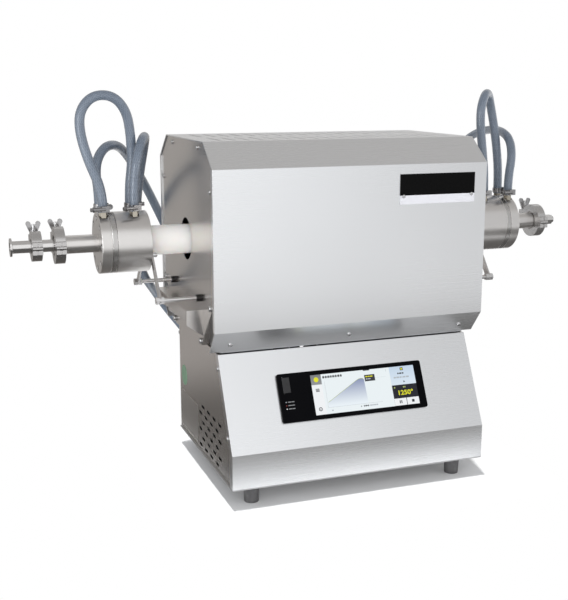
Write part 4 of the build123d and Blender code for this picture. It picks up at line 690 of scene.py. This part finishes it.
marks("faint", 0.0985, 0.0152, (0.0030, 0.0050), height=0.0018, gap=0.0008, layer=4)
bar("dark", 0.0960, rim, 0.0118, 0.0016, layer=3)
drawn("dark", [(0.0818, 0.0595), (0.0840, 0.0607), (0.0818, 0.0619)], layer=2)
marks("dark", 0.0870, 0.0596, (0.0022, 0.0030, 0.0024), height=0.0022, gap=0.0008)
marks("faint", 0.0985, 0.0596, (0.0030, 0.0024, 0.0036, 0.0028), height=0.0022, gap=0.0008)
marks("faint", 0.0290, 0.0610, (0.0030,), height=0.0020)

# The state tile, the ground of the temperature, and two buttons.
tiles_left, tiles_width = 0.1438, 0.0460
bar("blue", tiles_left, rim, tiles_width, 0.0317)
bar("dark", 0.1640, 0.0025, 0.0056, 0.0050, layer=2)
bar("yellow", 0.1652, 0.0037, 0.0032, 0.0026, layer=3)
marks("dark", 0.1580, 0.0112, (0.0026, 0.0042, 0.0030), height=0.0024, gap=0.0009)
marks("faint", 0.1500, 0.0178, (0.0040, 0.0052, 0.0030, 0.0012, 0.0046, 0.0054), height=0.0026, gap=0.0010)
drawn("dark", [(0.1668, 0.0252), (0.1700, 0.0270), (0.1668, 0.0288)], layer=2)
bar("black", tiles_left, 0.0320, tiles_width, 0.0230)
dot("green", 0.1482, 0.0362, 0.0013)
marks("green", 0.1640, 0.0350, (0.0024, 0.0016), height=0.0024, gap=0.0006)
for button_left in (0.1440, 0.1674):
    bar("white", button_left, 0.0550, 0.0224, 0.0120)
for stroke_left in (0.1532, 0.1562):
    bar("dark", stroke_left, 0.0585, 0.0018, 0.0050, layer=2)
bar("dark", 0.1762, 0.0587, 0.0048, 0.0046, layer=2)

# Three small lamps on the bezel, left of the screen.
lamps_left, lamps_down, lamps_apart = -0.0480, 0.0405, 0.0056
for row, ink in enumerate(("faint", "red", "white")):
    lamp_down = lamps_down + row * lamps_apart
    dot(ink, lamps_left, lamp_down, 0.0009)
    marks("grey", lamps_left + 0.0030, lamp_down - 0.0007, (0.0060, 0.0045), height=0.0013, gap=0.0007)

picture_mesh = bpy.data.meshes.new("screen_picture")
bmesh.ops.recalc_face_normals(picture, faces=picture.faces)
picture.to_mesh(picture_mesh)
picture.free()
for ink in inks.values():
    picture_mesh.materials.append(ink)
screen_picture = bpy.data.objects.new("screen_picture", picture_mesh)
scene.collection.objects.link(screen_picture)
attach(screen_picture, "furnace")

# The temperature, in thick yellow figures.
figure_height, figure_weight, figure_stretch = 0.0108, 0.00030, 1.15
figures = bpy.data.curves.new("figures", "FONT")
figures.body = "1250\u00b0"
figures.size = figure_height
figures.offset = figure_weight
figures.extrude = ink_layer / 2
figures.align_x = "CENTER"
figures.align_y = "CENTER"
figure_maker = bpy.data.objects.new("figure_maker", figures)
figure_mesh = bpy.data.meshes.new_from_object(figure_maker)
bpy.data.objects.remove(figure_maker)
leaning = Matrix((right, up_slope, out_of_slope)).transposed().to_4x4()
stretched = Matrix.Diagonal((figure_stretch, 1, 1, 1))
figure_mesh.transform(Matrix.Translation(on_screen(0.1668, 0.0460, 3)) @ leaning @ stretched)
figure_mesh.materials.clear()
figure_mesh.materials.append(inks["yellow"])
screen_figures = bpy.data.objects.new("screen_figures", figure_mesh)
scene.collection.objects.link(screen_figures)
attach(screen_figures, "furnace")

# ---------------------------------------------------------------- nameplate
# A black enamelled plate with a white strip along its foot, held by two screws. It carries no
# lettering. The enamel is slightly wavy.
enamel = Finish("plate_enamel", rough=0.22)
plate_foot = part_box("nameplate")[0].z
strip_height = 0.0145
above_strip = enamel.sums("GREATER_THAN", enamel.parted(enamel.place)["Z"], plate_foot + strip_height)
orange_peel = enamel.noise(enamel.place, scale=240, detail=3)
strip_white = enamel.blend(orange_peel, (0.66, 0.66, 0.69), (0.70, 0.70, 0.73))
plate_black = enamel.blend(orange_peel, (0.001, 0.001, 0.001), (0.003, 0.003, 0.003))
enamel.coloured(enamel.blend(above_strip, strip_white, plate_black))
enamel.relief(orange_peel, depth=0.00003, edge=0.0004)
enamel.shader.inputs["Specular IOR Level"].default_value = 0.08
wear(enamel, "nameplate")

# ---------------------------------------------------------------- plates on the left side
# A blank aluminium rating plate, glued on near the back edge, and above it a round green test
# sticker with nothing printed on it.
rating_metal = brushed_steel("rating_plate_metal", "y", (0.70, 0.68, 0.66), rough=0.34)
rating_thickness = 0.0005
rating_front, rating_back = place(0, -0.004, 0).y, place(0, 0.110, 0).y
rating_foot, rating_head = 0.043, 0.111
rating_plate = slab("rating_plate", Vector((cabinet_low.x - rating_thickness, rating_front, rating_foot)),
                    Vector((cabinet_low.x, rating_back, rating_head)), edge=0.0002)
wear(rating_metal, rating_plate)

sticker_paint = Finish("sticker_green", rough=0.45)
sticker_fibre = sticker_paint.noise(sticker_paint.place, scale=300, detail=3)
sticker_paint.coloured(sticker_paint.blend(sticker_fibre, (0.13, 0.24, 0.15), (0.16, 0.28, 0.18)))
sticker_radius, sticker_thickness = 0.019, 0.0003
sticker_middle = Vector((cabinet_low.x - sticker_thickness / 2, place(0, 0.088, 0).y, 0.142))
sticker_shape = bmesh.new()
bmesh.ops.create_cone(sticker_shape, cap_ends=True, segments=48, radius1=sticker_radius,
                      radius2=sticker_radius - 0.0002, depth=sticker_thickness)
sticker_mesh = bpy.data.meshes.new("green_sticker")
sticker_shape.to_mesh(sticker_mesh)
sticker_shape.free()
sticker_mesh.transform(Matrix.Translation(sticker_middle) @ Matrix.Rotation(-pi / 2, 4, "Y"))
sticker_mesh.materials.append(sticker_paint.material)
sticker = bpy.data.objects.new("green_sticker", sticker_mesh)
scene.collection.objects.link(sticker)
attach(sticker, "furnace")

# ---------------------------------------------------------------- cooling hoses
# Smooth grey-blue rubber hose over a braid, which shows faintly through its wall. Each is pushed on a
# barb of a flange and runs to another, or to a water port on the cabinet's back.
hose_diameter = 0.016
braid_strands, braid_turns_a_metre = 7, 55


def braided_rubber(length):
    """Rubber over a braid whose strands wind both ways round a hose of this length."""
    rubber = Finish("hose_wall", rough=0.26)
    on_wall = rubber.parted(rubber.tree.nodes.new("ShaderNodeTexCoord").outputs["UV"])
    advance = rubber.sums("MULTIPLY", on_wall["X"], 2 * pi * braid_turns_a_metre * length)
    round_it = rubber.sums("MULTIPLY", on_wall["Y"], 2 * pi)
    strands = []
    for way in (braid_strands, -braid_strands):
        phase = rubber.sums("ADD", advance, rubber.sums("MULTIPLY", round_it, way))
        strands.append(rubber.sums("ABSOLUTE", rubber.sums("SINE", phase)))
    braid = rubber.sums("MINIMUM", *strands)
    mottle = rubber.noise(rubber.place, scale=60, detail=3)
    braid_share, mottle_share = 0.6, 0.4
    seen = rubber.sums("ADD", rubber.sums("MULTIPLY", braid, braid_share),
                       rubber.sums("MULTIPLY", mottle, mottle_share))
    strand_grey, wall_grey = (0.20, 0.235, 0.29), (0.12, 0.148, 0.19)
    rubber.coloured(rubber.blend(rubber.between(seen, 0, 1, 0.1, 0.7), strand_grey, wall_grey))
    rubber.roughened(rubber.between(mottle, 0.22, 0.30))
    rubber.relief(braid, depth=0.00012)
    rubber.shader.inputs["Coat Weight"].default_value = 0.5
    rubber.shader.inputs["Coat Roughness"].default_value = 0.16
    return rubber.material


# Where the hoses' ends sit: on the barbs of the flanges, and on the water ports of the cabinet.
port_x = {"cap_left": -0.38145, "body_left": -0.330, "body_right": 0.330, "cap_right": 0.38145}
front, back = -0.018, 0.018
seat = 0.463164
rear_seat, rear_height = 0.129, 0.200


def hose(name, length, *points):
    """One hose, along its own smooth line from port to port."""
    line = bpy.data.curves.new(name, "CURVE")
    line.dimensions = "3D"
    line.bevel_depth = hose_diameter / 2
    line.bevel_resolution = 7
    line.resolution_u = 10
    line.use_fill_caps = True
    spline = line.splines.new("NURBS")
    spline.points.add(len(points) - 1)
    for control, point in zip(spline.points, points):
        control.co = (*place(*point), 1)
    spline.order_u = 3
    spline.use_endpoint_u = True
    line.materials.append(braided_rubber(length))
    piece = bpy.data.objects.new(name + "_rubber", line)
    scene.collection.objects.link(piece)
    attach(piece, "furnace")
    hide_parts(name)


hose("hose_left_jumper", 0.429,
     (port_x["cap_left"], front, seat), (port_x["cap_left"], front, 0.498), (-0.401, -0.015, 0.545),
     (-0.413, -0.010, 0.592), (-0.411, -0.006, 0.627), (-0.388, -0.002, 0.651), (-0.354, 0.004, 0.650),
     (-0.332, 0.011, 0.625), (-0.325, 0.017, 0.588), (-0.323, 0.021, 0.540),
     (port_x["body_left"], back, 0.498), (port_x["body_left"], back, seat))
hose("hose_left_cap_return", 0.666,
     (port_x["cap_left"], back, seat), (port_x["cap_left"], back, 0.494), (-0.385, 0.021, 0.524),
     (-0.379, 0.030, 0.549), (-0.361, 0.047, 0.567), (-0.336, 0.078, 0.566), (-0.313, 0.115, 0.547),
     (-0.292, 0.150, 0.520), (-0.269, 0.182, 0.488), (-0.245, 0.202, 0.445), (-0.221, 0.210, 0.395),
     (-0.199, 0.210, 0.350), (-0.182, 0.207, 0.307), (-0.173, 0.197, 0.270), (-0.166, 0.199, 0.241),
     (-0.160, 0.185, 0.215), (-0.156, 0.159, rear_height), (-0.156, rear_seat, rear_height))
hose("hose_left_body_supply", 0.685,
     (port_x["body_left"], front, seat), (port_x["body_left"], front, 0.498), (-0.325, -0.020, 0.542),
     (-0.310, 0.002, 0.577), (-0.294, 0.045, 0.584), (-0.289, 0.084, 0.560), (-0.295, 0.097, 0.515),
     (-0.302, 0.100, 0.458), (-0.303, 0.104, 0.404), (-0.298, 0.113, 0.360), (-0.286, 0.132, 0.325),
     (-0.268, 0.162, 0.301), (-0.251, 0.194, 0.279), (-0.235, 0.206, 0.256), (-0.218, 0.202, 0.232),
     (-0.204, 0.186, 0.212), (-0.196, 0.159, rear_height), (-0.196, rear_seat, rear_height))
hose("hose_right_jumper", 0.421,
     (port_x["body_right"], front, seat), (port_x["body_right"], front, 0.500), (0.321, -0.022, 0.548),
     (0.313, -0.025, 0.592), (0.313, -0.024, 0.626), (0.330, -0.009, 0.650), (0.351, 0.015, 0.651),
     (0.366, 0.030, 0.627), (0.374, 0.029, 0.592), (0.380, 0.024, 0.545),
     (port_x["cap_right"], back, 0.500), (port_x["cap_right"], back, seat))
hose("hose_right_cap_return", 0.772,
     (port_x["cap_right"], front, seat), (port_x["cap_right"], front, 0.497), (0.388, -0.017, 0.534),
     (0.397, 0.006, 0.565), (0.401, 0.045, 0.580), (0.404, 0.098, 0.580), (0.403, 0.155, 0.568),
     (0.390, 0.205, 0.532), (0.355, 0.237, 0.482), (0.312, 0.245, 0.425), (0.275, 0.243, 0.370),
     (0.246, 0.232, 0.318), (0.230, 0.200, 0.269), (0.216, 0.202, 0.240), (0.203, 0.186, 0.215),
     (0.196, 0.159, rear_height), (0.196, rear_seat, rear_height))
hose("hose_right_body_supply", 0.582,
     (port_x["body_right"], back, seat), (port_x["body_right"], back, 0.492), (0.324, 0.040, 0.521),
     (0.314, 0.074, 0.535), (0.304, 0.110, 0.524), (0.294, 0.146, 0.499), (0.281, 0.182, 0.460),
     (0.258, 0.208, 0.405), (0.227, 0.212, 0.350), (0.200, 0.209, 0.303), (0.176, 0.200, 0.268),
     (0.168, 0.200, 0.239), (0.160, 0.185, 0.214), (0.156, 0.159, rear_height),
     (0.156, rear_seat, rear_height))
